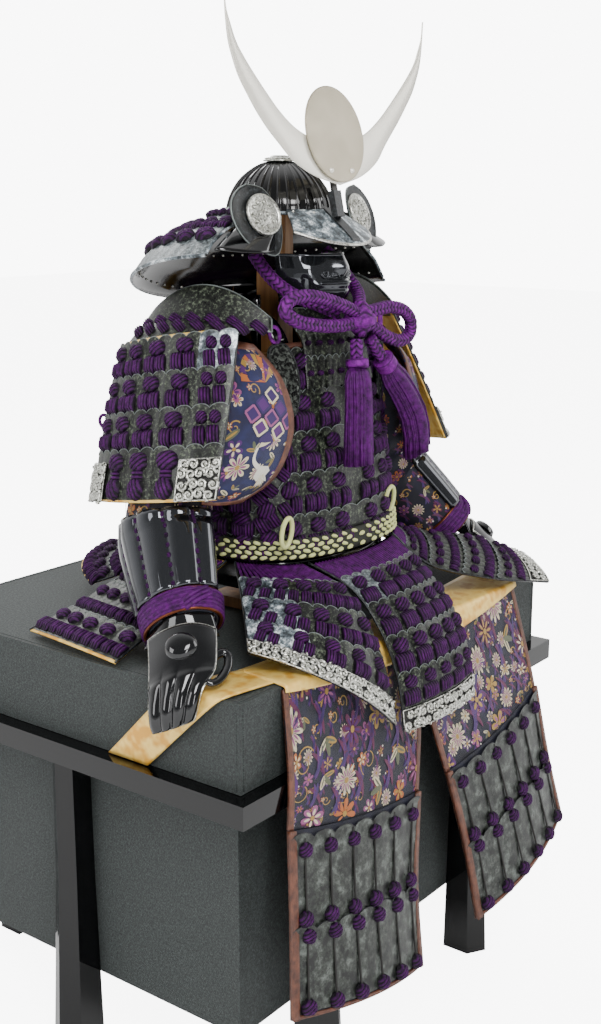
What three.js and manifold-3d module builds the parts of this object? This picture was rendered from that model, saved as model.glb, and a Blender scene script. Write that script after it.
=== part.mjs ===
// Samurai armour (helmet, mask, cuirass, shoulder guards, sleeves, tassets and thigh aprons) displayed on
// a wooden post stand on its six-legged storage chest.
// Millimetres, +Z up, the figure faces -Y and its left arm is at +X.
import * as THREE from 'three';
import { mergeVertices } from 'three/addons/utils/BufferGeometryUtils.js';
import Module from 'manifold-3d';

const wasm = await Module();
wasm.setup();

// ---- Driving dimensions ---------------------------------------------------------------------------------
const GAP = 0.3;              // clearance between touching pieces
const CLOTH = 2;              // brocade with its backing
const LACED = 3.2;            // plates with their lacing
const PLATE = 1.6;            // lacquered or plated metal

const RAIL = { width: 400, front: -170, back: 174, bottom: 224, top: 240 };
const WALL_INSET = 27.6;      // chest wall behind the rail's edge
const LID_INSET = 11.3;       // lid's side behind the rail's edge
const CHEST_FLOOR = 55;       // underside of the chest body
const LID_TOP = 300;
const BOARD = 7;              // thickness of the chest's boards
const WAIST_Z = 352;          // lower edge of the cuirass

const HELMET = { y: -42, rim: 589, width: 70, depth: 78 };
const CORD = 9.5;             // diameter of the helmet cord

// ---- Colours and finishes -------------------------------------------------------------------------------
const finish = (color, roughness, metalness = 0) => ({ color, roughness, metalness });
const CHEST_CLOTH = finish(0x4b4f50, 0.85);
const LACQUER = finish(0x0b0c0d, 0.12);
const WOOD = finish(0x8a6440, 0.6);
const GREY_PLATE = finish(0x4c5350, 0.35, 0.4);
const LACING = finish(0x5b1f7a, 0.7);
const SILVER = finish(0xcfcfca, 0.25, 1);
const CHAMPAGNE = finish(0xbdb5a0, 0.35, 0.9);
const BROCADE = finish(0x33305e, 0.75);
const GOLD_CLOTH = finish(0xe0c27a, 0.5);
const BRAID = finish(0xe6e7c4, 0.8);

// ---- Helpers --------------------------------------------------------------------------------------------
const point = (x, y, z) => new THREE.Vector3(x, y, z);
const lerp = THREE.MathUtils.lerp;
const radians = THREE.MathUtils.degToRad;
const armour = new THREE.Group();

function add(name, geometry, look) {
  const mesh = new THREE.Mesh(geometry, new THREE.MeshStandardMaterial(look));
  mesh.name = name;
  armour.add(mesh);
  return mesh;
}

function fromFaces(points, faces) {
  let volume = 0;
  for (const [a, b, c] of faces) {
    volume += points[a].dot(point(0, 0, 0).crossVectors(points[b], points[c]));
  }
  const ordered = volume < 0 ? faces.map(([a, b, c]) => [a, c, b]) : faces;
  const geometry = new THREE.BufferGeometry();
  geometry.setAttribute('position', new THREE.Float32BufferAttribute(points.flatMap((p) => p.toArray()), 3));
  geometry.setIndex(ordered.flat());
  return geometry;
}

// A closed wall on surface(u, v), as thick as given on the side of its normal. `round` closes it around u.
function wall(surface, across, along, thickness, round = false) {
  const columns = round ? across : across + 1;
  const step = 1e-3;
  const points = [];
  for (const side of [0, 1]) {
    for (let j = 0; j <= along; j += 1) {
      for (let i = 0; i < columns; i += 1) {
        const u = i / across;
        const v = j / along;
        const du = surface(u + step, v).sub(surface(u - step, v));
        const dv = surface(u, Math.min(v + step, 1)).sub(surface(u, Math.max(v - step, 0)));
        const normal = du.cross(dv).normalize();
        points.push(surface(u, v).addScaledVector(normal, side * thickness));
      }
    }
  }
  const layer = columns * (along + 1);
  const at = (side, i, j) => side * layer + j * columns + (round ? i % across : i);
  const faces = [];
  const quad = (a, b, c, d) => faces.push([a, b, c], [a, c, d]);
  for (let j = 0; j < along; j += 1) {
    for (let i = 0; i < across; i += 1) {
      quad(at(0, i, j), at(0, i, j + 1), at(0, i + 1, j + 1), at(0, i + 1, j));
      quad(at(1, i, j), at(1, i + 1, j), at(1, i + 1, j + 1), at(1, i, j + 1));
    }
  }
  for (let i = 0; i < across; i += 1) {
    quad(at(0, i, 0), at(0, i + 1, 0), at(1, i + 1, 0), at(1, i, 0));
    quad(at(0, i + 1, along), at(0, i, along), at(1, i, along), at(1, i + 1, along));
  }
  for (let j = 0; j < along && !round; j += 1) {
    quad(at(0, 0, j + 1), at(0, 0, j), at(1, 0, j), at(1, 0, j + 1));
    quad(at(0, across, j), at(0, across, j + 1), at(1, across, j + 1), at(1, across, j));
  }
  return fromFaces(points, faces);
}

// A closed body through rings of points that have the same count, with flat ends.
function loft(rings) {
  const count = rings[0].length;
  const points = rings.flat();
  const faces = [];
  for (let j = 0; j + 1 < rings.length; j += 1) {
    for (let i = 0; i < count; i += 1) {
      const [a, b] = [j * count + i, j * count + (i + 1) % count];
      faces.push([a, b, b + count], [a, b + count, a + count]);
    }
  }
  for (const end of [0, rings.length - 1]) {
    const middle = points.length;
    points.push(rings[end].reduce((sum, p) => sum.add(p), point(0, 0, 0)).divideScalar(count));
    for (let i = 0; i < count; i += 1) {
      const [a, b] = [end * count + i, end * count + (i + 1) % count];
      faces.push(end ? [a, b, middle] : [b, a, middle]);
    }
  }
  return fromFaces(points, faces);
}

const mirrorPoint = (p) => point(-p.x, p.y, p.z);
const mirrorSurface = (surface) => (u, v) => mirrorPoint(surface(1 - u, v));

// A surface through rows of three points: each row is a parabola from left to right through its middle, and the
// rows are joined by a smooth curve.
function rowSurface(rows) {
  const columns = ['left', 'mid', 'right'].map((name) => (
    new THREE.CatmullRomCurve3(rows.map((row) => point(...row[name])), false, 'centripetal')));
  return (u, v) => {
    const [left, mid, right] = columns.map((curve) => curve.getPoint(v));
    return point(0, 0, 0)
      .addScaledVector(left, (1 - u) * (1 - 2 * u))
      .addScaledVector(mid, 4 * u * (1 - u))
      .addScaledVector(right, u * (2 * u - 1));
  };
}

// A table of numbers by position, read at t from 0 to 1 with straight steps between its rows.
function table(rows, t, column) {
  let index = 0;
  while (index + 2 < rows.length && rows[index + 1].at < t) index += 1;
  const [low, high] = [rows[index], rows[index + 1]];
  return lerp(low[column], high[column], THREE.MathUtils.clamp((t - low.at) / (high.at - low.at), 0, 1));
}

function toSolid(geometry) {
  const bare = geometry.clone();
  bare.deleteAttribute('normal');
  bare.deleteAttribute('uv');
  const merged = mergeVertices(bare, 1e-4);
  const count = merged.attributes.position.count;
  const index = merged.index ? merged.index.array : Uint32Array.from({ length: count }, (_, i) => i);
  return new wasm.Manifold(new wasm.Mesh({
    numProp: 3,
    vertProperties: new Float32Array(merged.attributes.position.array),
    triVerts: new Uint32Array(index),
  }));
}

function toGeometry(solid) {
  const mesh = solid.getMesh();
  const geometry = new THREE.BufferGeometry();
  geometry.setAttribute('position', new THREE.Float32BufferAttribute(mesh.vertProperties, 3));
  geometry.setIndex([...mesh.triVerts]);
  return geometry;
}

const join = (...geometries) => toGeometry(geometries.map(toSolid).reduce((all, one) => all.add(one)));
const cut = (geometry, ...tools) => toGeometry(tools.map(toSolid).reduce((all, one) => all.subtract(one),
  toSolid(geometry)));

// A box between two corners.
function box(low, high) {
  const geometry = new THREE.BoxGeometry(high[0] - low[0], high[1] - low[1], high[2] - low[2]);
  return geometry.translate((low[0] + high[0]) / 2, (low[1] + high[1]) / 2, (low[2] + high[2]) / 2);
}

// A round cord along points, with a step about every `pace` millimetres.
function cord(points, diameter, pace = 2.5 * diameter) {
  const curve = new THREE.CatmullRomCurve3(points.map((p) => point(...p)));
  const section = new THREE.Shape();
  section.absarc(0, 0, diameter / 2, 0, 2 * Math.PI);
  return new THREE.ExtrudeGeometry(section, {
    steps: Math.ceil(curve.getLength() / pace),
    curveSegments: 8,
    extrudePath: curve,
    bevelEnabled: false,
  });
}

// ---- Chest ----------------------------------------------------------------------------------------------
const railSide = RAIL.width / 2;
const chestY = (RAIL.front + RAIL.back) / 2;

function rectangle(inset, bottom, top) {
  return box([-railSide + inset, RAIL.front + inset, bottom], [railSide - inset, RAIL.back - inset, top]);
}

function chest() {
  const inner = WALL_INSET + BOARD;
  add('chest_body', cut(rectangle(WALL_INSET, CHEST_FLOOR, RAIL.top),
    rectangle(inner, CHEST_FLOOR + BOARD, RAIL.top + 1)), CHEST_CLOTH);
  add('chest_rail', cut(rectangle(0, RAIL.bottom, RAIL.top),
    rectangle(WALL_INSET - GAP, RAIL.bottom - 1, RAIL.top + 1)), LACQUER);
  add('chest_lid', cut(rectangle(LID_INSET, RAIL.top + GAP, LID_TOP),
    rectangle(inner, RAIL.top, LID_TOP - BOARD)), CHEST_CLOTH);
}

// A leg has five sides: a flat one against the chest, two sides and two faces that meet in a ridge.
const LEG_SECTIONS = [
  { z: 0, half: 14.5, side: 22.4, ridge: 31.2 },
  { z: 50, half: 13, side: 20.5, ridge: 28.8 },
  { z: 130, half: 10.8, side: 17.6, ridge: 25 },
  { z: RAIL.bottom - GAP, half: 9.8, side: 16.6, ridge: 23.6 },
];

function legs() {
  const frontY = RAIL.front + WALL_INSET - GAP;
  const backY = RAIL.back - WALL_INSET + GAP;
  const sideX = railSide - WALL_INSET + GAP;
  const spread = 101;
  const places = {
    leg_front_right: { x: -spread, y: frontY, turn: 0 },
    leg_front_left: { x: spread, y: frontY, turn: 0 },
    leg_back_right: { x: -spread, y: backY, turn: 180 },
    leg_back_left: { x: spread, y: backY, turn: 180 },
    leg_side_right: { x: -sideX, y: chestY, turn: -90 },
    leg_side_left: { x: sideX, y: chestY, turn: 90 },
  };
  const rings = LEG_SECTIONS.map(({ z, half, side, ridge }) => [
    point(-half, 0, z), point(half, 0, z), point(half, -side, z), point(0, -ridge, z), point(-half, -side, z)]);
  for (const [name, { x, y, turn }] of Object.entries(places)) {
    const leg = add(name, loft(rings), LACQUER);
    leg.position.set(x, y, 0);
    leg.rotation.z = radians(turn);
  }
}

// ---- Stand ----------------------------------------------------------------------------------------------
const STAND = { foot: [80, 64], lower: [17, 20], upper: 9, lowerY: -37, upperY: -46, step: 548, top: 616 };

function stand() {
  const base = LID_TOP + GAP;
  const block = (y, wide, deep, low, high) => box([-wide / 2, y - deep / 2, low], [wide / 2, y + deep / 2, high]);
  add('post_stand', join(
    block(STAND.lowerY, ...STAND.foot, base, base + 8),
    block(STAND.lowerY, ...STAND.lower, base + 4, STAND.step),
    block(STAND.lowerY, 112, 14, 478, 490),
    block(STAND.upperY, STAND.upper, STAND.upper, STAND.step - 8, STAND.top),
    block(HELMET.y, 26, 26, STAND.top - 10, STAND.top),
  ), WOOD);
}

// ---- Helmet ---------------------------------------------------------------------------------------------
const BOWL_OUTLINE = [
  { z: 589, radius: 38 }, { z: 597, radius: 36.3 }, { z: 605, radius: 32.5 }, { z: 613, radius: 26.5 },
  { z: 620, radius: 18 }, { z: 624, radius: 10.5 }, { z: 625.2, radius: 0 },
];
const EAR_OUTLINE = [
  [-8, 22], [5, 19], [12, 10], [15, -3], [12.5, -17], [5, -28], [-8, -25.5], [-20, -17], [-26.5, -3], [-25, 9],
  [-17, 18],
];
const VISOR = { sweep: 48, tip: { y: -110, z: 568 }, endZ: 577, halfWidth: 57 };
const GUARD = { sweep: 79, rim: 106, top: 591 };
const GUARD_DROP = [{ at: 0, drop: 0 }, { at: 0.33, drop: 0.27 }, { at: 0.62, drop: 0.45 },
  { at: 0.85, drop: 0.71 }, { at: 1, drop: 1 }];

function helmetRing(angle, margin) {
  const [half, reach] = [HELMET.width / 2 + margin, HELMET.depth / 2 + margin];
  return point(-half * Math.sin(angle), HELMET.y - reach * Math.cos(angle), 0);
}

function neckGuardPoint(angle, s) {
  const top = helmetRing(angle, 0.6).setZ(GUARD.top);
  const rim = point(-GUARD.rim * Math.sin(angle), HELMET.y - GUARD.rim * Math.cos(angle), 0);
  rim.z = 541 - 0.126 * rim.x - 0.2 * rim.y - 0.001 * rim.y ** 2;
  return top.clone().lerp(rim, s).setZ(lerp(top.z, rim.z, table(GUARD_DROP, s, 'drop')));
}

function outward(geometry) {
  const merged = geometry.clone();
  merged.deleteAttribute('normal');
  merged.deleteAttribute('uv');
  const clean = mergeVertices(merged, 1e-4);
  const array = clean.attributes.position.array;
  const points = Array.from({ length: array.length / 3 }, (_, i) => point(...array.slice(3 * i, 3 * i + 3)));
  const faces = [];
  for (let i = 0; i < clean.index.count; i += 3) {
    const face = [0, 1, 2].map((k) => clean.index.array[i + k]);
    if (new Set(face).size === 3) faces.push(face);
  }
  return fromFaces(points, faces);
}

function lathe(outline, segments) {
  return outward(new THREE.LatheGeometry(outline.map(([radius, z]) => new THREE.Vector2(radius, z)), segments)
    .rotateX(Math.PI / 2));
}

function bowl() {
  const outer = BOWL_OUTLINE.map(({ z, radius }) => [radius, z]);
  const shrink = 1 - PLATE / outer[0][0];
  const inner = outer.map(([radius, z]) => [radius * shrink, HELMET.rim + (z - HELMET.rim) * shrink - 0.5]);
  inner[0][1] = HELMET.rim;
  const scale = [HELMET.width / (2 * outer[0][0]), HELMET.depth / (2 * outer[0][0]), 1];
  add('helmet_bowl', lathe([...inner.reverse(), ...outer], 32).scale(...scale).translate(0, HELMET.y, 0), LACQUER);
  const crown = [[0, 625.5], [11, 625.5], [11, 626.6], [7, 627], [6, 628.6], [0, 628.6]];
  add('crown_finial', lathe(crown, 20).translate(0, HELMET.y, 0), SILVER);
}

function visorPoint(u, v) {
  const share = lerp(1, -1, u);
  const angle = -radians(VISOR.sweep * share);
  const top = helmetRing(angle, 1).setZ(591);
  const reach = HELMET.y - VISOR.tip.y;
  const low = point(-VISOR.halfWidth * Math.sin(angle), HELMET.y - reach * Math.cos(angle),
    lerp(VISOR.tip.z, VISOR.endZ, share ** 2));
  return top.lerp(low, v).add(point(0, 0, 3 * v * (1 - v)));
}

function visor() {
  add('visor', wall(visorPoint, 14, 3, PLATE), GREY_PLATE);
}

function inFrame(geometry, origin, right, up, forward) {
  return geometry.applyMatrix4(new THREE.Matrix4().makeBasis(right, up, forward).setPosition(origin));
}

function earFrame() {
  const [yaw, lean] = [radians(10), radians(20)];
  const forward = point(-Math.sin(yaw) * Math.cos(lean), -Math.cos(yaw) * Math.cos(lean), Math.sin(lean));
  const right = point(Math.cos(yaw), -Math.sin(yaw), 0);
  const up = point(Math.sin(yaw) * Math.sin(lean), Math.cos(yaw) * Math.sin(lean), Math.cos(lean));
  return { forward, right, up, origin: point(-56.2, -73.8, 589.7).addScaledVector(forward, -4) };
}

function plate(outline, depth) {
  const shape = new THREE.Shape(outline.map(([x, y]) => new THREE.Vector2(x, y)));
  return new THREE.ExtrudeGeometry(shape, { depth, bevelEnabled: false });
}

// The ear faces forward; a strip behind it runs back to the front edge of the neck guard.
function turnback(side) {
  const { forward, right, up, origin } = earFrame();
  const ear = inFrame(plate(EAR_OUTLINE, PLATE), origin, right, up, forward);
  const onEar = (h, v) => origin.clone().addScaledVector(right, h).addScaledVector(up, v)
    .addScaledVector(forward, -1);
  const behind = radians(GUARD.sweep - 2);
  const strip = rowSurface([
    { left: onEar(11, 0).toArray(), mid: [-45, -62, 589], right: neckGuardPoint(behind, 0.16).toArray() },
    { left: onEar(8, -14).toArray(), mid: [-62, -73, 575], right: neckGuardPoint(behind, 0.5).toArray() },
    { left: onEar(4, -25).toArray(), mid: [-76, -79, 564], right: neckGuardPoint(behind, 0.93).toArray() },
  ]);
  let piece = join(ear, wall(strip, 6, 3, PLATE));
  let medal = lathe([[0, 0], [14.3, 0], [14.3, 1.6], [13, 2.2], [12, 1.5], [5, 1.9], [0, 2.1]], 24);
  medal = inFrame(medal, origin.clone().addScaledVector(forward, PLATE + GAP), right, up, forward);
  if (side === 'left') {
    piece = outward(piece.scale(-1, 1, 1));
    medal = outward(medal.scale(-1, 1, 1));
  }
  add(`turnback_${side}`, piece, GREY_PLATE);
  add(`medallion_${side}`, medal, SILVER);
}

function neckGuard() {
  const surface = (u, s) => neckGuardPoint(radians(lerp(GUARD.sweep, 360 - GUARD.sweep, u)), lerp(0.02, 1, s));
  add('neck_guard', wall(surface, 26, 5, LACED), GREY_PLATE);
}

// ---- Crest ----------------------------------------------------------------------------------------------
// Half widths of the crescent at heights above the middle of the disc.
const HORN_OUTER = [[0, -33.5], [28.5, -27], [49.5, -17], [61, -7], [72.4, 3], [82.7, 13], [91.5, 23], [99.6, 33],
  [105, 43], [109, 53], [111.5, 68], [112.5, 84]];
const HORN_INNER = [[111, 72], [107, 63], [101.6, 53], [92.5, 43], [81.8, 33], [70.3, 23], [57.8, 13], [41, 3],
  [20, -3.5]];
const CREST = { y: -87.7, z: 642, lean: radians(12), radius: 32.9, sheet: 1.2, knee: 8 };

function crestFrame(geometry, n) {
  const up = point(0, Math.sin(CREST.lean), Math.cos(CREST.lean));
  const forward = point(0, -Math.cos(CREST.lean), Math.sin(CREST.lean));
  const origin = point(0, CREST.y, CREST.z).addScaledVector(forward, n);
  return inFrame(geometry, origin, point(1, 0, 0), up, forward);
}

function crest() {
  const half = [...HORN_OUTER, ...HORN_INNER];
  const outline = [...half, ...half.slice(1).reverse().map(([x, z]) => [-x, z])];
  const crescent = plate(outline, CREST.sheet).rotateX(Math.PI / 2).translate(0, CREST.y, CREST.z);
  const place = crescent.attributes.position;
  for (let i = 0; i < place.count; i += 1) {
    const below = CREST.z - place.getZ(i);
    const lean = (below + Math.hypot(below, CREST.knee)) / 2;
    place.setY(i, place.getY(i) - Math.tan(CREST.lean) * lean);
  }
  const tongue = crestFrame(box([-3, -46, -6], [3, -18, -4.2]), 0);
  const spacer = crestFrame(box([-3, -27, -5], [3, -19, 0.6]), 0);
  add('crest_crescent', join(outward(crescent), tongue, spacer), CHAMPAGNE);
  const disc = lathe([[0, 0], [CREST.radius, 0], [CREST.radius, CREST.sheet], [0, CREST.sheet]], 36);
  add('crest_disc', crestFrame(disc, CREST.sheet + 1.2), CHAMPAGNE);
}

// A profile in the plane of Y and Z, as wide as given and centred on x.
function profile(outline, width, x = 0) {
  return inFrame(plate(outline, width), point(x - width / 2, 0, 0), point(0, 1, 0), point(0, 0, 1), point(1, 0, 0));
}

function crestSocket() {
  const strip = profile([[-84.5, 591.8], [-92.5, 585.8], [-101.9, 578.1], [-109.8, 571.1], [-109.2, 573.1],
    [-100.9, 580.4], [-91.4, 588], [-84.5, 593.4]], 9);
  const block = crestFrame(box([-4.3, -55, -7.6], [4.3, -37, -2.6]), 0);
  const slot = crestFrame(box([-3.3, -46.4, -6.3], [3.3, -30, -3.9]), 0);
  add('crest_socket', cut(join(strip, block), slot), GREY_PLATE);
}

// ---- Face -----------------------------------------------------------------------------------------------
// Half width, forward reach from the axis of the face and extra length of the nose, from the cheeks down.
const MASK_ROWS = [
  { at: 0, z: 561, half: 31, reach: 34, nose: 6 }, { at: 0.3, z: 552, half: 33, reach: 37, nose: 8 },
  { at: 0.5, z: 546, half: 33, reach: 39, nose: 2 }, { at: 0.75, z: 536, half: 31, reach: 41, nose: 3 },
  { at: 1, z: 526, half: 27, reach: 37, nose: 0 },
];
const FACE_Y = -56;
const THROAT_ROWS = [
  { at: 0, z: 524, half: 31, front: -95, depth: 52 }, { at: 0.5, z: 502, half: 38, front: -98, depth: 17 },
  { at: 1, z: 471, half: 44, front: -99.3, depth: 6 },
];

function face() {
  const mask = (u, v) => {
    const angle = radians(lerp(78, -78, u));
    const [z, half, reach, nose] = ['z', 'half', 'reach', 'nose'].map((name) => table(MASK_ROWS, v, name));
    const ridge = nose * Math.max(0, 1 - Math.abs(angle) / radians(20));
    return point(half * Math.sin(angle), FACE_Y - reach * Math.cos(angle) - ridge, z);
  };
  add('face_mask', wall(mask, 14, 6, PLATE), LACQUER);
  const throat = (u, v) => {
    const angle = radians(lerp(64, -64, u));
    const [z, half, front, depth] = ['z', 'half', 'front', 'depth'].map((name) => table(THROAT_ROWS, v, name));
    return point(half * Math.sin(angle), front + depth * (1 - Math.cos(angle)), z);
  };
  add('throat_guard', wall(throat, 12, 4, 2.4), GREY_PLATE);
}

// ---- Cuirass and belt -----------------------------------------------------------------------------------
// Inner half width and half depth of the body and the middle of its section, from the waist up.
const BODY = [
  { at: 352, half: 78, depth: 59, middle: -51.5 },
  { at: 400, half: 80, depth: 61, middle: -45 }, { at: 459, half: 80, depth: 58.5, middle: -36.5 },
  { at: 500, half: 66, depth: 54, middle: -34 }, { at: 515, half: 60, depth: 50, middle: -32 },
];
// Height of the cuirass's upper edge by degrees from the front.
const NECKLINE = [{ at: 0, top: 500 }, { at: 38, top: 500 }, { at: 55, top: 462 }, { at: 66, top: 440 },
  { at: 116, top: 440 }, { at: 128, top: 470 }, { at: 142, top: 512 }, { at: 180, top: 512 }];
const SQUARENESS = 2 / 2.6;

// A point on the body's section, at degrees from the front towards the right arm.
function bodyPoint(degrees, z, margin = 0) {
  const angle = radians(degrees);
  const soft = (value) => Math.sign(value) * Math.abs(value) ** SQUARENESS;
  const [half, depth, middle] = ['half', 'depth', 'middle'].map((name) => table(BODY, z, name));
  return point(-(half + margin) * soft(Math.sin(angle)), middle - (depth + margin) * soft(Math.cos(angle)), z);
}

function cuirass() {
  const shell = wall((u, v) => {
    const degrees = lerp(-90, 270, u);
    const fromFront = Math.abs(((degrees + 540) % 360) - 180);
    return bodyPoint(degrees, lerp(table(NECKLINE, fromFront, 'top'), WAIST_Z, v));
  }, 32, 6, LACED, true);
  const strapLine = new THREE.CatmullRomCurve3([[-85, 474], [-83, 490], [-77, 507], [-62, 521], [-35, 527],
    [-8, 520], [6, 505], [12, 492], [15.5, 478]].map(([y, z]) => point(0, y, z)));
  const strap = (x) => wall((u, v) => strapLine.getPoint(v).setX(x + lerp(7, -7, u)), 1, 10, 2.5);
  add('cuirass', join(shell, strap(46), strap(-46)), GREY_PLATE);
  const belt = (u, v) => bodyPoint(lerp(-90, 270, u), lerp(369, 355, v), LACED + GAP + 0.8);
  add('belt', wall(belt, 32, 1, 5, true), BRAID);
}

const LEAF = [[-9, 24], [0, 27], [9, 24], [12, 12], [11, -4], [5, -20], [0, -26], [-5, -20], [-11, -4], [-12, 12]];

function leafPlate(side) {
  const up = point(-0.2, 0.14, 1).normalize();
  const forward = point(-0.42, -0.9, 0.1);
  const right = up.clone().cross(forward).normalize();
  forward.crossVectors(right, up).normalize();
  const piece = inFrame(plate(LEAF, 2), point(-55, -91, 478), right, up, forward);
  add(`leaf_plate_${side}`, side === 'left' ? outward(piece.scale(-1, 1, 1)) : outward(piece), SILVER);
}

// ---- Panels of laced plates and brocade -----------------------------------------------------------------
// Each row runs round the figure from its left, over the front, to its right and the back; rows go downwards.
const SHOULDER_GUARD = [
  { left: [-90, -78, 516], mid: [-115, -32, 510], right: [-103, 15, 500] },
  { left: [-106, -86, 483], mid: [-128, -35, 476], right: [-113, 18, 465] },
  { left: [-123, -93, 448], mid: [-141, -38, 441], right: [-122, 20, 429] },
  { left: [-140, -100, 411], mid: [-152, -40, 403], right: [-130, 22, 392] },
];
const TOP_PLATE = [
  { left: [-73, -92, 521], mid: [-83, -46, 542], right: [-90, -4, 524] },
  { left: [-77, -96, 513], mid: [-100, -45, 517], right: [-99, 1, 511] },
];
const SHOULDER_PANEL = [
  { left: [-77, -80, 504], mid: [-83, -68, 506], right: [-88, -50, 508] },
  { left: [-74, -102, 480], mid: [-93, -92, 479], right: [-108, -71, 478] },
  { left: [-72.5, -109, 450], mid: [-98, -101, 447], right: [-121, -78, 444] },
  { left: [-84, -103, 419], mid: [-110, -97, 416], right: [-131, -80, 413] },
  { left: [-104, -90, 403], mid: [-119, -86, 403], right: [-130, -78, 404] },
];

const waist = (degrees) => bodyPoint(degrees, WAIST_Z, LACED + GAP + 0.2).setZ(WAIST_Z - 2).toArray();
const waistRow = (from, to) => ({ left: waist(from), mid: waist((from + to) / 2), right: waist(to) });
const TASSET_FRONT = [
  { left: waist(-33), mid: [0, -115.5, 350], right: waist(33) },
  { left: [43, -139, 334], mid: [0, -146, 336], right: [-43, -139, 334] },
  { left: [44, -163, 310], mid: [0, -171, 313], right: [-44, -163, 310] },
  { left: [45, -178, 280], mid: [0, -186, 282], right: [-45, -178, 280] },
  { left: [46, -185, 243], mid: [0, -191, 243], right: [-46, -185, 243] },
];
const TASSET_FRONT_RIGHT = [
  waistRow(38, 82),
  { left: [-51, -141, 333], mid: [-80, -127, 340], right: [-103, -88, 341] },
  { left: [-52, -168, 295], mid: [-98, -159, 317], right: [-128, -113, 329] },
  { left: [-54, -182, 249], mid: [-110, -178, 292], right: [-148, -132, 316] },
];
const TASSET_FRONT_LEFT = [
  waistRow(-82, -38),
  { left: [104, -97, 341], mid: [90, -115, 336], right: [66, -131, 328] },
  { left: [146, -126, 331], mid: [128, -146, 323], right: [98, -162, 315] },
  { left: [186, -146, 312], mid: [178, -167, 306], right: [160, -186, 301] },
];
const TASSET_SIDE = [
  waistRow(87, 118),
  { left: [-112, -52, 334], mid: [-114, -18, 335], right: [-106, 14, 334] },
  { left: [-150, -49, 314], mid: [-152, -8, 318], right: [-142, 32, 315] },
  { left: [-188, -52, 303], mid: [-186, -3, 306], right: [-176, 44, 303] },
];
const TASSET_BACK = [
  waistRow(123, 174),
  { left: [-84, 12, 339], mid: [-62, 33, 341], right: [-22, 38, 340] },
  { left: [-92, 38, 326], mid: [-68, 66, 330], right: [-26, 76, 329] },
  { left: [-98, 62, 316], mid: [-74, 97, 322], right: [-30, 116, 325] },
];

const APRON = [
  { left: [-4, -159.3, 298], mid: [-76, -159.3, 298], right: [-148.4, -159.3, 298] },
  { left: [-5, -171.2, 243], mid: [-80, -171.4, 242], right: [-157, -171, 241] },
  { left: [-19, -180, 188], mid: [-92, -181, 197], right: [-163, -175, 212] },
];
const APRON_PLATES = [
  { left: [-19.1, -180.2, 187.5], mid: [-92.1, -181.2, 196.5], right: [-163.1, -175.2, 211.5] },
  { left: [-34, -188.5, 125], mid: [-104, -193, 136], right: [-172, -184, 150] },
  { left: [-40, -198, 65], mid: [-112, -205, 80], right: [-183, -193, 94.5] },
];

function pair(name, rows, across, along, thickness, look) {
  const surface = rowSurface(rows);
  add(`${name}_right`, wall(surface, across, along, thickness), look);
  add(`${name}_left`, wall(mirrorSurface(surface), across, along, thickness), look);
}

function panels() {
  pair('shoulder_guard', SHOULDER_GUARD, 8, 6, LACED, GREY_PLATE);
  pair('top_plate', TOP_PLATE, 8, 2, PLATE, GREY_PLATE);
  pair('shoulder_panel', SHOULDER_PANEL, 5, 7, CLOTH, BROCADE);
  add('tasset_front', wall(rowSurface(TASSET_FRONT), 6, 8, LACED), LACING);
  add('tasset_front_right', wall(rowSurface(TASSET_FRONT_RIGHT), 7, 7, LACED), LACING);
  add('tasset_front_left', wall(rowSurface(TASSET_FRONT_LEFT), 7, 7, LACED), LACING);
  pair('tasset_side', TASSET_SIDE, 6, 6, LACED, LACING);
  pair('tasset_back', TASSET_BACK, 6, 6, LACED, LACING);
  pair('apron', APRON, 5, 6, CLOTH, BROCADE);
  pair('apron_plates', APRON_PLATES, 6, 5, LACED, GREY_PLATE);
}

// ---- Gold waistband of the aprons, with the tie that crosses the lid and hangs down its side ------------
const WAISTBAND = [
  { left: [146, -120, 300.5], mid: [0, -128, 300.5], right: [-146, -120, 300.5] },
  { left: [149, -157, 301], mid: [0, -157, 301], right: [-149, -157, 301] },
  { left: [149, -162, 300], mid: [0, -162, 300], right: [-149, -162, 300] },
  { left: [149, -163, 297], mid: [0, -166, 283], right: [-149, -163, 297] },
];
const TIE = [
  { left: [-140, -154, 300.5], mid: [-140, -138, 300.5], right: [-140, -122, 300.5] },
  { left: [-187.5, -147, 301.3], mid: [-187.5, -128, 301.3], right: [-187.5, -108, 301.3] },
  { left: [-190.8, -144, 299.5], mid: [-190.8, -125, 299.5], right: [-190.8, -105, 299.5] },
  { left: [-190.5, -82, 240.8], mid: [-190.5, -64, 240.8], right: [-190.5, -46, 240.8] },
];

function waistband() {
  const band = wall(rowSurface(WAISTBAND), 8, 6, 1);
  const tie = wall(rowSurface(TIE), 2, 6, 1);
  add('waistband', join(band, tie), GOLD_CLOTH);
}

// ---- Arms -----------------------------------------------------------------------------------------------
// Middle of the sleeve and its half depth and half width, from the shoulder to the wrist.
const SLEEVE = [
  { at: 0, x: -85, y: -40.5, z: 489, deep: 21.5, wide: 19 },
  { at: 0.22, x: -107, y: -41, z: 446, deep: 28, wide: 21.5 },
  { at: 0.47, x: -122, y: -41, z: 398, deep: 33, wide: 24 },
  { at: 0.58, x: -131, y: -49, z: 377, deep: 33, wide: 24 },
  { at: 0.8, x: -148, y: -71, z: 350, deep: 28.5, wide: 22 },
  { at: 1, x: -162, y: -89, z: 328, deep: 24, wide: 19 },
];
const HAND = [
  { left: [-158, -116, 330], mid: [-177, -103, 337], right: [-187, -78, 321] },
  { left: [-167, -125, 321], mid: [-187, -110, 326], right: [-197, -89, 309] },
  { left: [-176, -132, 313], mid: [-197, -116, 312], right: [-203, -95, 297] },
  { left: [-190, -133, 305], mid: [-205, -119, 297], right: [-208, -100, 284] },
  { left: [-196, -131, 288], mid: [-205, -118, 281], right: [-207, -102, 274] },
];
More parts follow.
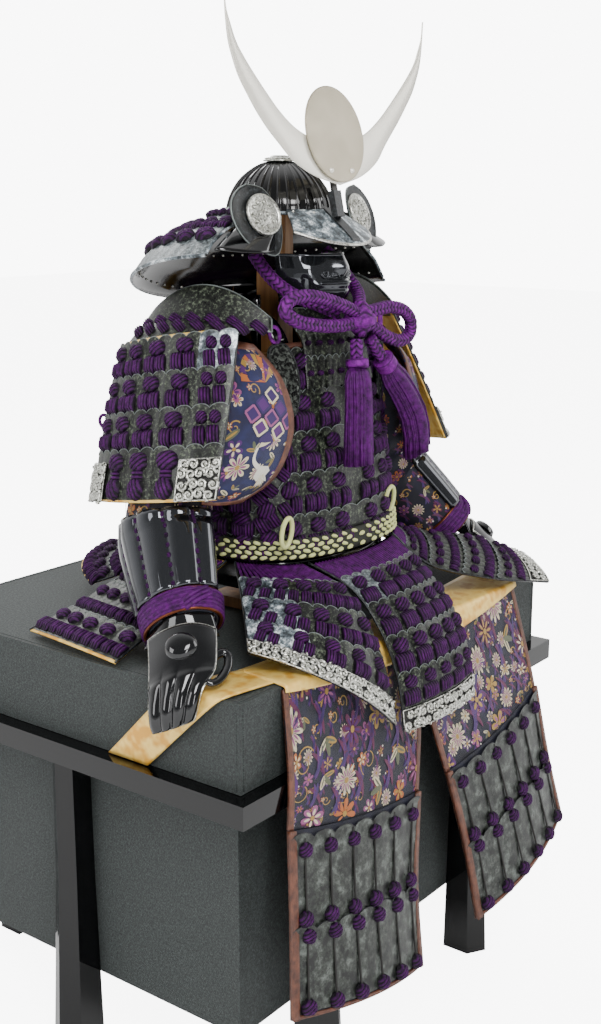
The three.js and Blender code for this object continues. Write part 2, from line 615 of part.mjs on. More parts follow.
const sleeveLine = new THREE.CatmullRomCurve3(SLEEVE.map(({ x, y, z }) => point(x, y, z)), false, 'centripetal');

function sleevePoint(degrees, t, margin = 0) {
  const at = THREE.MathUtils.clamp(t, 0, 1);
  const steps = SLEEVE.length - 1;
  const index = Math.min(steps - 1, SLEEVE.findIndex((row, i) => i === steps || at <= SLEEVE[i + 1].at));
  const within = (at - SLEEVE[index].at) / (SLEEVE[index + 1].at - SLEEVE[index].at);
  const place = (index + within) / steps;
  const middle = sleeveLine.getPoint(place);
  const axis = sleeveLine.getTangent(place);
  const back = point(0.25, 1, 0).addScaledVector(axis, -point(0.25, 1, 0).dot(axis)).normalize();
  const out = point(0, 0, 0).crossVectors(axis, back);
  const angle = radians(degrees);
  return middle.addScaledVector(back, (table(SLEEVE, at, 'deep') + margin) * Math.cos(angle))
    .addScaledVector(out, (table(SLEEVE, at, 'wide') + margin) * Math.sin(angle));
}

const SPLINTS = 5;

function arms() {
  const sleeve = (u, t) => sleevePoint(360 * u, t);
  const splints = (u, v) => {
    const rise = 2.6 * Math.abs(Math.sin(Math.PI * SPLINTS * u)) ** 0.6;
    return sleevePoint(lerp(20, 200, u), lerp(0.53, 0.88, v), CLOTH + GAP + 0.8 + rise);
  };
  const tie = (u, v) => sleevePoint(360 * u, lerp(0.915, 0.99, v), CLOTH + GAP);
  const hand = rowSurface(HAND);
  const pieces = [['sleeve', sleeve, 14, 7, CLOTH, true, BROCADE], ['splints', splints, 20, 3, 1.2, false, LACQUER],
    ['wrist_tie', tie, 14, 1, 4, true, LACING], ['hand_guard', hand, 6, 8, 2, false, LACQUER]];
  for (const [name, surface, across, along, thickness, round, look] of pieces) {
    add(`${name}_right`, wall(surface, across, along, thickness, round), look);
    add(`${name}_left`, wall(mirrorSurface(surface), across, along, thickness, round), look);
  }
}

// ---- Helmet cord ----------------------------------------------------------------------------------------
const STRAND_RIGHT = [[-42, -52, 562], [-43, -61, 553], [-42, -72, 543], [-36, -85, 534], [-25, -96, 528],
  [-13, -103.5, 522]];
const STRAND_LEFT = [[42, -52, 562], [43, -61, 554], [41, -73, 543], [34, -87, 533], [22, -97, 527],
  [11, -103.5, 521]];
const LOOP_RIGHT = [[-3, -114, 521], [-18, -114, 527], [-38, -113, 533], [-60, -112, 537], [-76, -110, 535],
  [-81, -110, 529], [-72, -111, 522], [-50, -113, 517], [-26, -114, 515], [-4, -114, 516]];
const LOOP_LEFT = [[0, -114, 521], [16, -115, 523], [34, -116, 524], [50, -117, 520], [59, -117, 512],
  [58, -117, 503], [46, -117, 499], [30, -116, 503], [14, -115, 511], [0, -114, 516]];
const TAILS = {
  right: {
    line: [[-7, -115.5, 503], [-10, -117.5, 495], [-11, -119, 487], [-12, -120, 480], [-12, -121, 466],
      [-12, -121, 440], [-12, -121, 409]],
  },
  left: {
    line: [[7, -117, 503.5], [16, -118, 493], [25, -119, 484], [33, -119, 476], [45, -121, 462], [58, -123, 440],
      [62, -123, 408]],
  },
};
// Radius across the tail and its tassel: cord, collar, skirt.
const TAIL_SECTIONS = [{ at: 0, radius: CORD / 2 }, { at: 0.24, radius: CORD / 2 }, { at: 0.25, radius: 8 },
  { at: 0.37, radius: 8 }, { at: 0.38, radius: 9 }, { at: 0.6, radius: 13 }, { at: 1, radius: 14.5 }];

function tail(side) {
  const line = new THREE.CatmullRomCurve3(TAILS[side].line.map((p) => point(...p)));
  const rings = [0, 0.08, 0.16, 0.24, 0.25, 0.31, 0.37, 0.38, 0.5, 0.6, 0.8, 1].map((t) => {
    const middle = line.getPointAt(t);
    const axis = line.getTangentAt(t);
    const across = point(1, 0, 0).addScaledVector(axis, -axis.x).normalize();
    const depth = point(0, 0, 0).crossVectors(axis, across);
    const radius = table(TAIL_SECTIONS, t, 'radius');
    const flat = t > 0.4 ? 0.62 : 1;
    return Array.from({ length: 10 }, (_, i) => middle.clone()
      .addScaledVector(across, radius * Math.cos(2 * Math.PI * i / 10))
      .addScaledVector(depth, radius * flat * Math.sin(2 * Math.PI * i / 10)));
  });
  add(`cord_tail_${side}`, loft(rings), LACING);
}

function helmetCord() {
  add('cord_strand_right', outward(cord(STRAND_RIGHT, CORD, 9)), LACING);
  add('cord_strand_left', outward(cord(STRAND_LEFT, CORD, 9)), LACING);
  const knot = new THREE.SphereGeometry(1, 12, 8).scale(10, 8.5, 13).translate(-1, -114, 518);
  add('cord_bow', join(cord(LOOP_RIGHT, CORD, 12), cord(LOOP_LEFT, CORD, 12), knot), LACING);
  tail('right');
  tail('left');
}

chest();
legs();
stand();
bowl();
visor();
turnback('right');
turnback('left');
neckGuard();
crest();
crestSocket();
face();
cuirass();
leafPlate('right');
leafPlate('left');
panels();
waistband();
arms();
helmetCord();

// The middle of the set, without its cords, stands over the origin.
const whole = new THREE.Box3();
armour.children.filter((piece) => !piece.name.startsWith('cord_')).forEach((piece) => whole.expandByObject(piece));
const middle = whole.getCenter(point(0, 0, 0));
armour.position.set(-middle.x, -middle.y, 0);
armour.updateMatrixWorld(true);
export default armour;
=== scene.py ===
"""Looks of a small samurai armour that sits on its storage chest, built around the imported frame."""
import functools
import math
import bpy
import numpy as np
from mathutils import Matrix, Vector


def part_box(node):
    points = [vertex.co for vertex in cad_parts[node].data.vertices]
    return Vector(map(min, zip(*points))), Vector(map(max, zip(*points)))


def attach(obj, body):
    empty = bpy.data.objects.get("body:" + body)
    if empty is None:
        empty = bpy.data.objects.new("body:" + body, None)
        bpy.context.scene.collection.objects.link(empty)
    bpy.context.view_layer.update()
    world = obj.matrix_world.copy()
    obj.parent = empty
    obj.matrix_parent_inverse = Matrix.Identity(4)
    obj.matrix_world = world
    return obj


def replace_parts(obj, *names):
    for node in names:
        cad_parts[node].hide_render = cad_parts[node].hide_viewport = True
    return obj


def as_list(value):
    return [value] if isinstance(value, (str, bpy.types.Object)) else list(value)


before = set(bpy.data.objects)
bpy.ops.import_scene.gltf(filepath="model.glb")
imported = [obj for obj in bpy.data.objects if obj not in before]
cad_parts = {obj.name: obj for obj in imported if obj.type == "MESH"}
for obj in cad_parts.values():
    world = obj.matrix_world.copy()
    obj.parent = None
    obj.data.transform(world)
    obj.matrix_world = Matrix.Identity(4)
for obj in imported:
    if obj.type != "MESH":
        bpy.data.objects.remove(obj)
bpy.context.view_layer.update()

BODY = "armour"
CREST_BODY = "crest"
MM = 0.001
# The armour is drawn in its own frame, in millimetres, with the front of the chest's rail at this y.
RAIL_FRONT = -170.0
SHIFT = np.array([0.0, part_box("chest_rail")[0][1] / MM - RAIL_FRONT, 0.0])


def row(points):
    """Points of the drawing frame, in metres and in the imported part's frame."""
    return (np.asarray(points, float) + SHIFT) / 1000.0


def drawn_box(node):
    """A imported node's lowest and highest corners in the drawing frame."""
    return [np.array(corner) * 1000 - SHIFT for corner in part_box(node)]


def unit(v):
    length = np.linalg.norm(v, axis=-1, keepdims=True)
    return v / np.maximum(length, 1e-9)


# ---- Nodes ----
def rgb(code):
    """A colour's linear values from its hex code."""
    channels = [int(code[i:i + 2], 16) / 255 for i in (1, 3, 5)]
    return tuple(c / 12.92 if c <= 0.04045 else ((c + 0.055) / 1.055) ** 2.4 for c in channels) + (1.0,)


def fill(tree, node, values):
    """Sets a node's inputs, or links those whose value is another node's output; "#..." is a colour."""
    for name, value in values.items():
        if isinstance(value, bpy.types.NodeSocket):
            tree.links.new(value, node.inputs[name])
        else:
            is_colour = isinstance(value, str) and value.startswith("#")
            node.inputs[name].default_value = rgb(value) if is_colour else value


def add_node(tree, kind, values=None, output=0, stops=(), **settings):
    """Adds one node with its settings and links, and returns an output; stops fill a colour ramp."""
    node = tree.nodes.new(kind)
    for name, value in settings.items():
        setattr(node, name, value)
    fill(tree, node, values or {})
    for index, (position, tone) in enumerate(stops):
        elements = node.color_ramp.elements
        stop = elements[index] if index < 2 else elements.new(position)
        stop.position = position
        stop.color = rgb(tone) if isinstance(tone, str) else (tone, tone, tone, 1.0)
    return node.outputs[output]


# ---- Camera, lights and floor ----
CAMERA_PLACE = (-780.0, -658.4, 605.2)
CAMERA_TURN = -52.54
CAMERA_DOWN = 13.39
LENS = 47.53
# Light that the surroundings give, from their dark side to their bright side, and which way is bright.
AMBIENT = (0.32, 1.5)
SWEEP = (0.6, 0.75, 0.25)
# How bright the backdrop and the floor are to the camera alone.
BACKDROP = 9.0
FLOOR_GLOW = 7.2
LIGHTS_AIM = (0.0, 0.0, 0.4)
# Name, place in metres, width and height in metres, and power in watts.
LIGHTS = (
    ("key", (-1.1, -1.3, 1.9), (0.9, 0.9), 52.0),
    ("side", (-1.9, 0.5, 1.0), (0.7, 1.2), 20.0),
    ("fill", (1.6, -1.4, 1.0), (0.9, 1.2), 16.0),
    ("low", (-1.3, -1.9, 0.75), (0.35, 1.1), 16.0),
    ("back", (0.8, 1.6, 1.7), (0.8, 0.8), 16.0),
)


def camera():
    data = bpy.data.cameras.new("camera")
    data.sensor_fit = "VERTICAL"
    data.sensor_height = 36.0
    data.lens = LENS
    data.clip_end = 20.0
    eye = bpy.data.objects.new("camera", data)
    eye.location = row(CAMERA_PLACE)
    eye.rotation_euler = (math.pi / 2 - math.radians(CAMERA_DOWN), 0.0, math.radians(CAMERA_TURN))
    bpy.context.collection.objects.link(eye)
    bpy.context.scene.camera = eye


def area_light(name, place, size, power):
    data = bpy.data.lights.new(name, "AREA")
    data.shape = "RECTANGLE"
    data.size, data.size_y = size
    data.energy = power
    lamp = bpy.data.objects.new(name, data)
    lamp.location = place
    lamp.rotation_euler = (Vector(LIGHTS_AIM) - Vector(place)).to_track_quat("-Z", "Y").to_euler()
    bpy.context.collection.objects.link(lamp)


def surroundings():
    """Soft light, brighter from one side, behind a white backdrop that only the camera sees."""
    world = bpy.data.worlds.new("studio")
    world.use_nodes = True
    tree = world.node_tree
    toward = add_node(tree, "ShaderNodeTexCoord", output="Generated")
    lean = add_node(tree, "ShaderNodeVectorMath", {0: toward, 1: SWEEP}, "Value", operation="DOT_PRODUCT")
    glow = add_node(tree, "ShaderNodeMapRange", {"Value": lean, "From Min": -0.1, "From Max": 0.6,
                                                 "To Min": AMBIENT[0], "To Max": AMBIENT[1]},
                    interpolation_type="SMOOTHSTEP")
    seen = add_node(tree, "ShaderNodeLightPath", output="Is Camera Ray")
    strength = add_node(tree, "ShaderNodeMapRange", {"Value": seen, "To Min": glow, "To Max": BACKDROP})
    fill(tree, tree.nodes["Background"], {"Color": "#ffffff", "Strength": strength})
    bpy.context.scene.world = world


def studio():
    surroundings()
    for light in LIGHTS:
        area_light(*light)
    bpy.ops.mesh.primitive_plane_add(size=14.0, location=(0.0, 0.0, -0.4 * MM))
    floor = bpy.context.object
    floor.name = "floor"
    floor.data.materials.append(make_floor())


# ---- Materials: patterns on Object coordinates count cells per metre, so 500 is a speck of 2 mm ----
class Finish:
    """A material that is being made: its nodes and its surface."""

    def __init__(self, name, colour, roughness, metallic=0.0, coat=0.0):
        self.material = bpy.data.materials.new(name)
        self.material.use_nodes = True
        self.tree = self.material.node_tree
        self.done({"Base Color": colour, "Roughness": roughness, "Metallic": metallic, "Coat Weight": coat,
                   "Coat Roughness": 0.08})

    def add(self, kind, values=None, output=0, **settings):
        return add_node(self.tree, "ShaderNode" + kind, values, output, **settings)

    @functools.cached_property
    def place(self):
        """The place on the part, in metres."""
        return self.add("TexCoord", output="Object")

    def done(self, values, relief=None):
        """Sets or feeds the surface and gives back the material; relief is (height, mm, strength)."""
        if relief:
            height, distance, strength = relief
            bump = self.add("Bump", {"Height": height, "Distance": distance * MM, "Strength": strength})
            values = {**values, "Normal": bump}
        fill(self.tree, self.tree.nodes["Principled BSDF"], values)
        return self.material


@functools.cache
def material(look):
    """The material of a look, made the first time it is asked for."""
    return LOOKS[look][0]()


# White paper sweep, lit from within for the camera so that it fades into the backdrop.
def make_floor():
    s = Finish("studio floor", "#f6f6f6", 0.8)
    seen = s.add("LightPath", output="Is Camera Ray")
    glow = s.add("Math", {0: seen, 1: FLOOR_GLOW}, operation="MULTIPLY")
    return s.done({"Emission Color": "#ffffff", "Emission Strength": glow})


# Glossy black urushi-style lacquer on metal and wood, with the faint unevenness of a polished coat.
def make_lacquer():
    s = Finish("black lacquer", "#020203", 0.1, coat=0.2)
    waves = s.add("TexNoise", {"Vector": s.place, "Scale": 35.0, "Roughness": 0.55})
    haze = s.add("TexNoise", {"Vector": s.place, "Scale": 180.0, "Detail": 3.0, "Roughness": 0.55})
    gloss = s.add("ValToRGB", {"Fac": haze}, stops=[(0.3, 0.06), (0.75, 0.18)])
    return s.done({"Roughness": gloss}, relief=(waves, 0.25, 0.35))


# The stand's black lacquer: as dark, a little less bright, and smoother.
def make_stand_lacquer():
    s = Finish("stand lacquer", "#020203", 0.06)
    waves = s.add("TexNoise", {"Vector": s.place, "Scale": 30.0, "Roughness": 0.55})
    return s.done({"Specular IOR Level": 0.42}, relief=(waves, 0.25, 0.35))


# Black lacquer polished over iron: the hand guards reflect like dark glass.
def make_polished(name="polished lacquer", colour="#111214", roughness=0.06, metallic=0.42, coat=0.5):
    s = Finish(name, colour, roughness, metallic, coat)
    waves = s.add("TexNoise", {"Vector": s.place, "Scale": 45.0, "Roughness": 0.55})
    return s.done({}, relief=(waves, 0.3, 0.4))


# Bright black iron of the mask and the arm splints.
def make_iron():
    return make_polished("polished iron", "#3c3e42", 0.05, 0.85, 0.4)


# Plates with a mottled grey-green coat that lets specks of silver, about 2 mm across, show.
def make_plate(name="mottled plate", dark="#030403", mid="#10130e", light="#707a66", speck=0.68, cloud=0.12):
    s = Finish(name, mid, 0.38, metallic=0.25)
    fine = s.add("TexNoise", {"Vector": s.place, "Scale": 430.0, "Detail": 6.0, "Roughness": 0.8})
    broad = s.add("TexNoise", {"Vector": s.place, "Scale": 130.0, "Detail": 3.0, "Roughness": 0.55})
    tone = s.add("Math", {0: s.add("Math", {0: fine, 1: 1.0 - cloud}, operation="MULTIPLY"),
                          1: s.add("Math", {0: broad, 1: cloud}, operation="MULTIPLY")}, operation="ADD")
    colour = s.add("ValToRGB", {"Fac": tone}, stops=[(0.43, dark), (0.52, mid), (speck, light)])
    gloss = s.add("ValToRGB", {"Fac": fine}, stops=[(0.35, 0.26), (0.7, 0.55)])
    return s.done({"Base Color": colour, "Roughness": gloss}, relief=(fine, 0.25, 0.5))


# The neck guard's plates have a lighter coat.
def make_pale_plate():
    return make_plate("pale plate", "#2b3031", "#596163", "#a3abad", 0.66)


# The larger plates of the aprons are a smoother mid grey.
def make_apron_plate():
    return make_plate("apron plate", "#0e100f", "#30342f", "#757c77", 0.72, 0.55)


# Mottled bright grey metal of the visor, and of the plates near the front edges.
def make_visor():
    return make_plate("visor metal", "#1e2427", "#6a757b", "#e2e9ec", 0.6, 0.5)


# Darker metal of the turn-backs and of the crest's socket.
def make_ear():
    return make_plate("turn-back metal", "#050606", "#131517", "#4d5356", 0.7)


# Purple silk braid, with painted shade. Each mesh counts its strands: a ridge is one strand, with four finer
# threads on it. The colour is painted darker, towards near black, between the strands, between the threads
# and where the groove attribute is set.
def make_silk(name="purple silk", dark="#190020", light="#540062"):
    s = Finish(name, dark, 0.62)
    groove = s.add("Attribute", output="Fac", attribute_name="groove")
    strand = s.add("Attribute", output="Fac", attribute_name="strand")

    def ridge(times, power):
        angle = s.add("Math", {0: strand, 1: times * math.pi}, operation="MULTIPLY")
        swing = s.add("Math", {0: s.add("Math", {0: angle}, operation="COSINE")}, operation="ABSOLUTE")
        return s.add("Math", {0: swing, 1: power}, operation="POWER")

    # Painted shade: how much darker a strand or thread is painted where it falls away from its ridge.
    def shadow(height, depth):
        low = s.add("Math", {0: 1.0, 1: height}, operation="SUBTRACT")
        return s.add("Math", {0: low, 1: depth}, operation="MULTIPLY")

    bundle, thread = ridge(1, 0.7), ridge(4, 0.5)
    shade = s.add("Math", {0: shadow(bundle, 0.95), 1: shadow(thread, 0.35)}, operation="ADD")
    shade = s.add("Math", {0: shade, 1: groove}, operation="ADD", use_clamp=True)
    dye = s.add("TexNoise", {"Vector": s.place, "Scale": 260.0, "Detail": 4.0, "Roughness": 0.65})
    dyed = s.add("ValToRGB", {"Fac": dye}, stops=[(0.3, dark), (0.72, light)])
    fuzz = s.add("TexNoise", {"Vector": s.place, "Scale": 1500.0, "Detail": 3.0, "Roughness": 0.55})
    fine = s.add("Bump", {"Height": fuzz, "Distance": 0.15 * MM, "Strength": 0.5})
    threads_up = s.add("Math", {0: thread, 1: 0.25}, operation="MULTIPLY")
    height = s.add("Math", {0: bundle, 1: threads_up}, operation="ADD")
    # The base colour is mixed towards near black (#050008) by this painted shade between strands and threads
    # and in the grooves.
    return s.done({
        "Specular IOR Level": 0.22,
        "Base Color": s.add("Mix", {0: shade, 6: dyed, 7: "#050008"}, 2, data_type="RGBA"),
        "Normal": s.add("Bump", {"Height": height, "Distance": 0.7 * MM, "Strength": 0.8, "Normal": fine})})


# The cord's silk is a little brighter than the laces.
def make_cord_silk():
    return make_silk("cord silk", "#2b0034", "#7a0a8c")


# Bright silver-coloured chased metal, its grain about 1.4 mm.
def make_silver():
    s = Finish("chased silver", "#c4c5c0", 0.28, metallic=0.95)
    grain = s.add("TexNoise", {"Vector": s.place, "Scale": 700.0, "Detail": 5.0, "Roughness": 0.55})
    colour = s.add("ValToRGB", {"Fac": grain}, stops=[(0.32, "#55564f"), (0.55, "#d2d2ca")])
    return s.done({"Base Color": colour}, relief=(grain, 0.3, 0.6))


# Blackened carved metal of the leaf plates.
def make_dark_silver():
    s = Finish("blackened silver", "#101110", 0.28, metallic=0.7)
    relief = s.add("TexNoise", {"Vector": s.place, "Scale": 420.0, "Detail": 3.0, "Roughness": 0.5})
    colour = s.add("ValToRGB", {"Fac": relief}, stops=[(0.45, "#030303"), (0.6, "#4d514c")])
    return s.done({"Base Color": colour}, relief=(relief, 0.8, 0.9))


# Satin champagne-coloured sheet metal of the crest's disc.
def make_champagne():
    s = Finish("champagne metal", "#a49b87", 0.4, metallic=0.5)
    haze = s.add("TexNoise", {"Vector": s.place, "Scale": 60.0, "Detail": 3.0, "Roughness": 0.55})
    satin = s.add("TexNoise", {"Vector": s.place, "Scale": 2600.0, "Roughness": 0.55})
    gloss = s.add("ValToRGB", {"Fac": haze}, stops=[(0.3, 0.36), (0.7, 0.48)])
    return s.done({"Roughness": gloss}, relief=(satin, 0.03, 0.3))


# Lighter sheet of the crest's crescent.
def make_crescent():
    s = Finish("crescent metal", "#dedace", 0.36, metallic=0.35)
    satin = s.add("TexNoise", {"Vector": s.place, "Scale": 2600.0, "Roughness": 0.55})
    return s.done({}, relief=(satin, 0.02, 0.3))


# Dark grey woven cloth glued over board, its threads drawn 1.7 mm wide, as coarse as they need to show.
def make_chest_cloth():
    s = Finish("chest cloth", "#24292b", 0.75)
    warp = s.add("TexWave", {"Vector": s.place, "Scale": 620.0, "Distortion": 1.5}, "Fac",
                 bands_direction="DIAGONAL")
    weft = s.add("TexWave", {"Vector": s.place, "Scale": 540.0, "Distortion": 1.5}, "Fac",
                 bands_direction="Z")
    weave = s.add("Math", {0: warp, 1: weft}, operation="MULTIPLY")
    nap = s.add("TexNoise", {"Vector": s.place, "Scale": 720.0, "Detail": 3.0, "Roughness": 0.7})
    tone = s.add("Math", {0: s.add("Math", {0: weave, 1: 0.45}, operation="MULTIPLY"),
                          1: s.add("Math", {0: nap, 1: 0.85}, operation="MULTIPLY")}, operation="ADD")
    shades = [(0.3, "#080a0a"), (0.6, "#1f2423"), (0.95, "#5a6361")]
    colour = s.add("ValToRGB", {"Fac": tone}, stops=shades)
    return s.done({"Base Color": colour}, relief=(tone, 0.35, 0.5))


# Stained cypress wood, with its grain drawn out along the post.
def make_wood():
    s = Finish("stained wood", "#8a6440", 0.5)
    along = s.add("Mapping", {"Vector": s.place, "Scale": (1.0, 1.0, 0.08)})
    grain = s.add("TexNoise", {"Vector": along, "Scale": 160.0, "Detail": 5.0, "Roughness": 0.6})
    shades = [(0.3, "#6d4826"), (0.55, "#94683c"), (0.75, "#b0824e")]
    colour = s.add("ValToRGB", {"Fac": grain}, stops=shades)
    return s.done({"Base Color": colour}, relief=(grain, 0.2, 0.4))


# Indigo silk brocade ground: a twill with a faint pattern in the weave. Its UV map is in millimetres.
def make_brocade(name="brocade ground", dark="#05050f", light="#0e1026"):
    s = Finish(name, dark, 0.55)
    cloth = s.add("Attribute", output="Vector", attribute_name="UVMap")
    twill = s.add("TexWave", {"Vector": cloth, "Scale": 2.2}, "Fac", bands_direction="DIAGONAL")
    cloud = s.add("TexNoise", {"Vector": cloth, "Scale": 0.09, "Detail": 4.0, "Roughness": 0.6})
    ground = s.add("ValToRGB", {"Fac": cloud}, stops=[(0.38, dark), (0.62, light)])
    part = s.add("Math", {0: twill, 1: 0.35}, operation="MULTIPLY")
    colour = s.add("Mix", {0: part, 6: ground, 7: light}, 2, data_type="RGBA")
    return s.done({"Base Color": colour}, relief=(twill, 0.12, 0.6))


def make_blue_brocade():
    return make_brocade("blue brocade ground", "#0d0e2b", "#1a1f4a")


# Woven figures of the brocade: each has its own thread colour, darker between the stitches.
def make_threads():
    s = Finish("brocade threads", "#ffffff", 0.5)
    cloth = s.add("Attribute", output="Vector", attribute_name="UVMap")
    thread = s.add("Attribute", output="Color", attribute_name="thread")
    stitch = s.add("TexWave", {"Vector": cloth, "Scale": 3.6}, "Fac", bands_direction="DIAGONAL")
    gap = s.add("Math", {0: stitch, 1: 0.36}, operation="MULTIPLY")
    colour = s.add("Mix", {0: gap, 6: thread, 7: "#160f24"}, 2, data_type="RGBA")
    return s.done({"Base Color": colour}, relief=(stitch, 0.15, 0.6))


# Brown leather binding, with pores of about 1 mm.
def make_leather():
    s = Finish("leather binding", "#4f2c1c", 0.5)
    pores = s.add("TexVoronoi", {"Vector": s.place, "Scale": 900.0}, "Distance")
    wear = s.add("TexNoise", {"Vector": s.place, "Scale": 200.0, "Detail": 3.0, "Roughness": 0.55})
    colour = s.add("ValToRGB", {"Fac": wear}, stops=[(0.3, "#3a1d12"), (0.7, "#643a28")])
    return s.done({"Base Color": colour}, relief=(pores, 0.2, 0.5))


# Gold satin of the waistband, with a woven leaf-like pattern.
def make_gold():
    s = Finish("gold satin", "#dcbb78", 0.38, metallic=0.2)
    figure = s.add("TexNoise", {"Vector": s.place, "Scale": 70.0, "Roughness": 0.55})
    weave = s.add("TexWave", {"Vector": s.place, "Scale": 700.0}, "Fac", bands_direction="DIAGONAL")
    shades = [(0.35, "#cf9632"), (0.5, "#ebc76c"), (0.7, "#dcab46")]
    colour = s.add("ValToRGB", {"Fac": figure}, stops=shades)
    return s.done({"Base Color": colour}, relief=(weave, 0.08, 0.4))


# Cream strands of the belt, soft cotton with a nap finer than it can show.
def make_cream(name="cream braid", colour="#b7bb7c", roughness=0.7):
    s = Finish(name, colour, roughness)
    nap = s.add("TexNoise", {"Vector": s.place, "Scale": 1800.0, "Roughness": 0.55})
    return s.done({}, relief=(nap, 0.3, 0.6))


# Dark olive strands of the belt.
def make_olive():
    return make_cream("olive braid", "#15170c", 0.75)


# Black recess behind open silver work.
def make_recess():
    return Finish("dark recess", "#141210", 0.7).material


# Worn copper edge of the wrist guards.
def make_copper():
    return Finish("copper rim", "#5d2d15", 0.35, metallic=0.7).material


# Dull edge metal of the plates.
def make_rim():
    return Finish("plate rim", "#6d7472", 0.4, metallic=0.6).material


# Dark bronze of the crest's tongue.
def make_bronze():
    return Finish("dark bronze", "#16120f", 0.3, metallic=0.6).material


# Each look's maker, and the part's slot that it fills.
LOOKS = {
    "lacquer": (make_lacquer, "lacquer"), "stand_lacquer": (make_stand_lacquer, "lacquer"),
    "polished": (make_polished, "lacquer"), "iron": (make_iron, "lacquer"),
    "recess": (make_recess, "lacquer"),
    "bronze": (make_bronze, "lacquer"), "plate": (make_plate, "grey_plate"),
    "pale": (make_pale_plate, "grey_plate"),
    "apron_plate": (make_apron_plate, "grey_plate"), "visor": (make_visor, "grey_plate"),
    "ear": (make_ear, "grey_plate"), "silk": (make_silk, "lacing"), "cord_silk": (make_cord_silk, "braid"),
    "cream": (make_cream, "braid"), "olive": (make_olive, "braid"), "silver": (make_silver, "silver"),
    "dark_silver": (make_dark_silver, "silver"), "copper": (make_copper, "silver"),
    "rim": (make_rim, "silver"),
    "champagne": (make_champagne, "champagne"), "crescent": (make_crescent, "champagne"),
    "chest_cloth": (make_chest_cloth, "chest_cloth"), "wood": (make_wood, "wood"),
    "brocade": (make_brocade, "brocade"), "blue_brocade": (make_blue_brocade, "brocade"),
    "threads": (make_threads, "brocade"), "leather": (make_leather, "brocade"),
    "gold": (make_gold, "gold_cloth"),
}


# ---- Meshes ----
def add_mesh(name, points, faces, look, uv=None, colour=None, smooth=True, body=BODY):
    """A mesh of points in the drawing frame, in a look's material; uv and colour are per point."""
    data = bpy.data.meshes.new(name)
    data.from_pydata(row(points).tolist(), [], [tuple(map(int, f)) for f in faces])
    if smooth:
        data.shade_smooth()
    data.materials.append(material(look))
    corners = np.empty(len(data.loops), dtype=np.int64)
    data.loops.foreach_get("vertex_index", corners)
    if uv is not None:
        layer = data.uv_layers.new(name="UVMap")
        layer.data.foreach_set("uv", np.asarray(uv, float)[corners].ravel())
    if colour is not None:
        attribute = data.color_attributes.new("thread", "FLOAT_COLOR", "POINT")
        attribute.data.foreach_set("color", np.asarray(colour, float).ravel())
    data.validate()
    obj = bpy.data.objects.new(name, data)
    bpy.context.collection.objects.link(obj)
    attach(obj, body)
    return obj


def grid_faces(columns, rows, start=0, round_columns=False, flip=False):
    """Quads of a grid of points in rows of `columns`, whose first point has the index start."""
    faces = []
    last = columns if round_columns else columns - 1
    for j in range(rows - 1):
        for i in range(last):
            a = start + j * columns + i
            b = start + j * columns + (i + 1) % columns
            quad = (a, a + columns, b + columns, b)
            faces.append(quad[::-1] if flip else quad)
    return faces


def gridded(surface):
    """Lets a surface take numbers, lists or arrays of matching shapes as its u and v."""
    return lambda u, v: surface(*np.broadcast_arrays(np.asarray(u, float), np.asarray(v, float)))


def normals(surface, u, v):
    step = 1e-3
    du = surface(u + step, v) - surface(u - step, v)
    dv = surface(u, np.minimum(v + step, 1)) - surface(u, np.maximum(v - step, 0))
    return unit(np.cross(du, dv))


def raised(surface, u, v, lift):
    """Points of a surface, lifted along its normals."""
    u, v = np.broadcast_arrays(np.asarray(u, float), np.asarray(v, float))
    return surface(u, v) + normals(surface, u, v) * np.asarray(lift)[..., None]


def shell(name, surface, columns, rows, thickness, look, lift=0.0, closed=False, size=(100.0, 100.0),
          noise=None):
    """A wall on a surface, from lift to lift + thickness along its normals.

    closed joins its two sides, size is a cloth's width and length for its UV map, and noise(u, v) shapes it.
    """
    u = np.linspace(0, 1, columns + 1)[:-1] if closed else np.linspace(0, 1, columns)
    v = np.linspace(0, 1, rows)
    u, v = [a.ravel() for a in np.meshgrid(u, v)]
    base, n = surface(u, v), normals(surface, u, v)
    if noise is not None:
        base = base + n * noise(u, v)[:, None]
    points = np.concatenate([base + n * lift, base + n * (lift + thickness)])
    count = columns * rows
    faces = grid_faces(columns, rows, 0, closed) + grid_faces(columns, rows, count, closed, flip=True)
    for i in range(columns if closed else columns - 1):
        k = (i + 1) % columns
        faces.append((i, k, count + k, count + i))
        low = count - columns
        faces.append((low + k, low + i, count + low + i, count + low + k))
    if not closed:
        for j in range(rows - 1):
            a, b = j * columns, (j + 1) * columns
            faces.append((b, a, count + a, count + b))
            a, b = a + columns - 1, b + columns - 1
            faces.append((a, b, count + b, count + a))
    uv = np.stack([u * size[0], -v * size[1]], 1)
    return add_mesh(name, points, faces, look, uv=np.concatenate([uv, uv]))


def tube(centres, radius, sides=8, closed=False, depth=None):
    """Points and faces of a tube along centres; radius may be a list, and depth its second radius."""
    centres = np.asarray(centres, float)
    count = len(centres)
    if closed:
        along = unit(np.roll(centres, -1, 0) - np.roll(centres, 1, 0))
    else:
        along = unit(np.gradient(centres, axis=0))
    radius = np.broadcast_to(radius, (count,)).astype(float)
    depth = radius if depth is None else np.broadcast_to(depth, (count,)).astype(float)
    side = np.cross(along[0], (0.0, 0.0, 1.0))
    if np.linalg.norm(side) < 0.2:
        side = np.cross(along[0], (0.0, 1.0, 0.0))
    rings = []
    for i in range(count):
        side = unit(side - along[i] * (side @ along[i]))
        other = np.cross(along[i], side)
        angle = np.linspace(0, 2 * math.pi, sides, endpoint=False)[:, None]
        rings.append(centres[i] + side * np.cos(angle) * radius[i] + other * np.sin(angle) * depth[i])
    points = np.concatenate(rings)
    faces = grid_faces(sides, count, 0, True, flip=True)
    if closed:
        faces += [((count - 1) * sides + i, (count - 1) * sides + (i + 1) % sides, (i + 1) % sides, i)
                  for i in range(sides)]
    else:
        faces += [tuple(range(sides))[::-1], tuple(range((count - 1) * sides, count * sides))]
    return points, faces


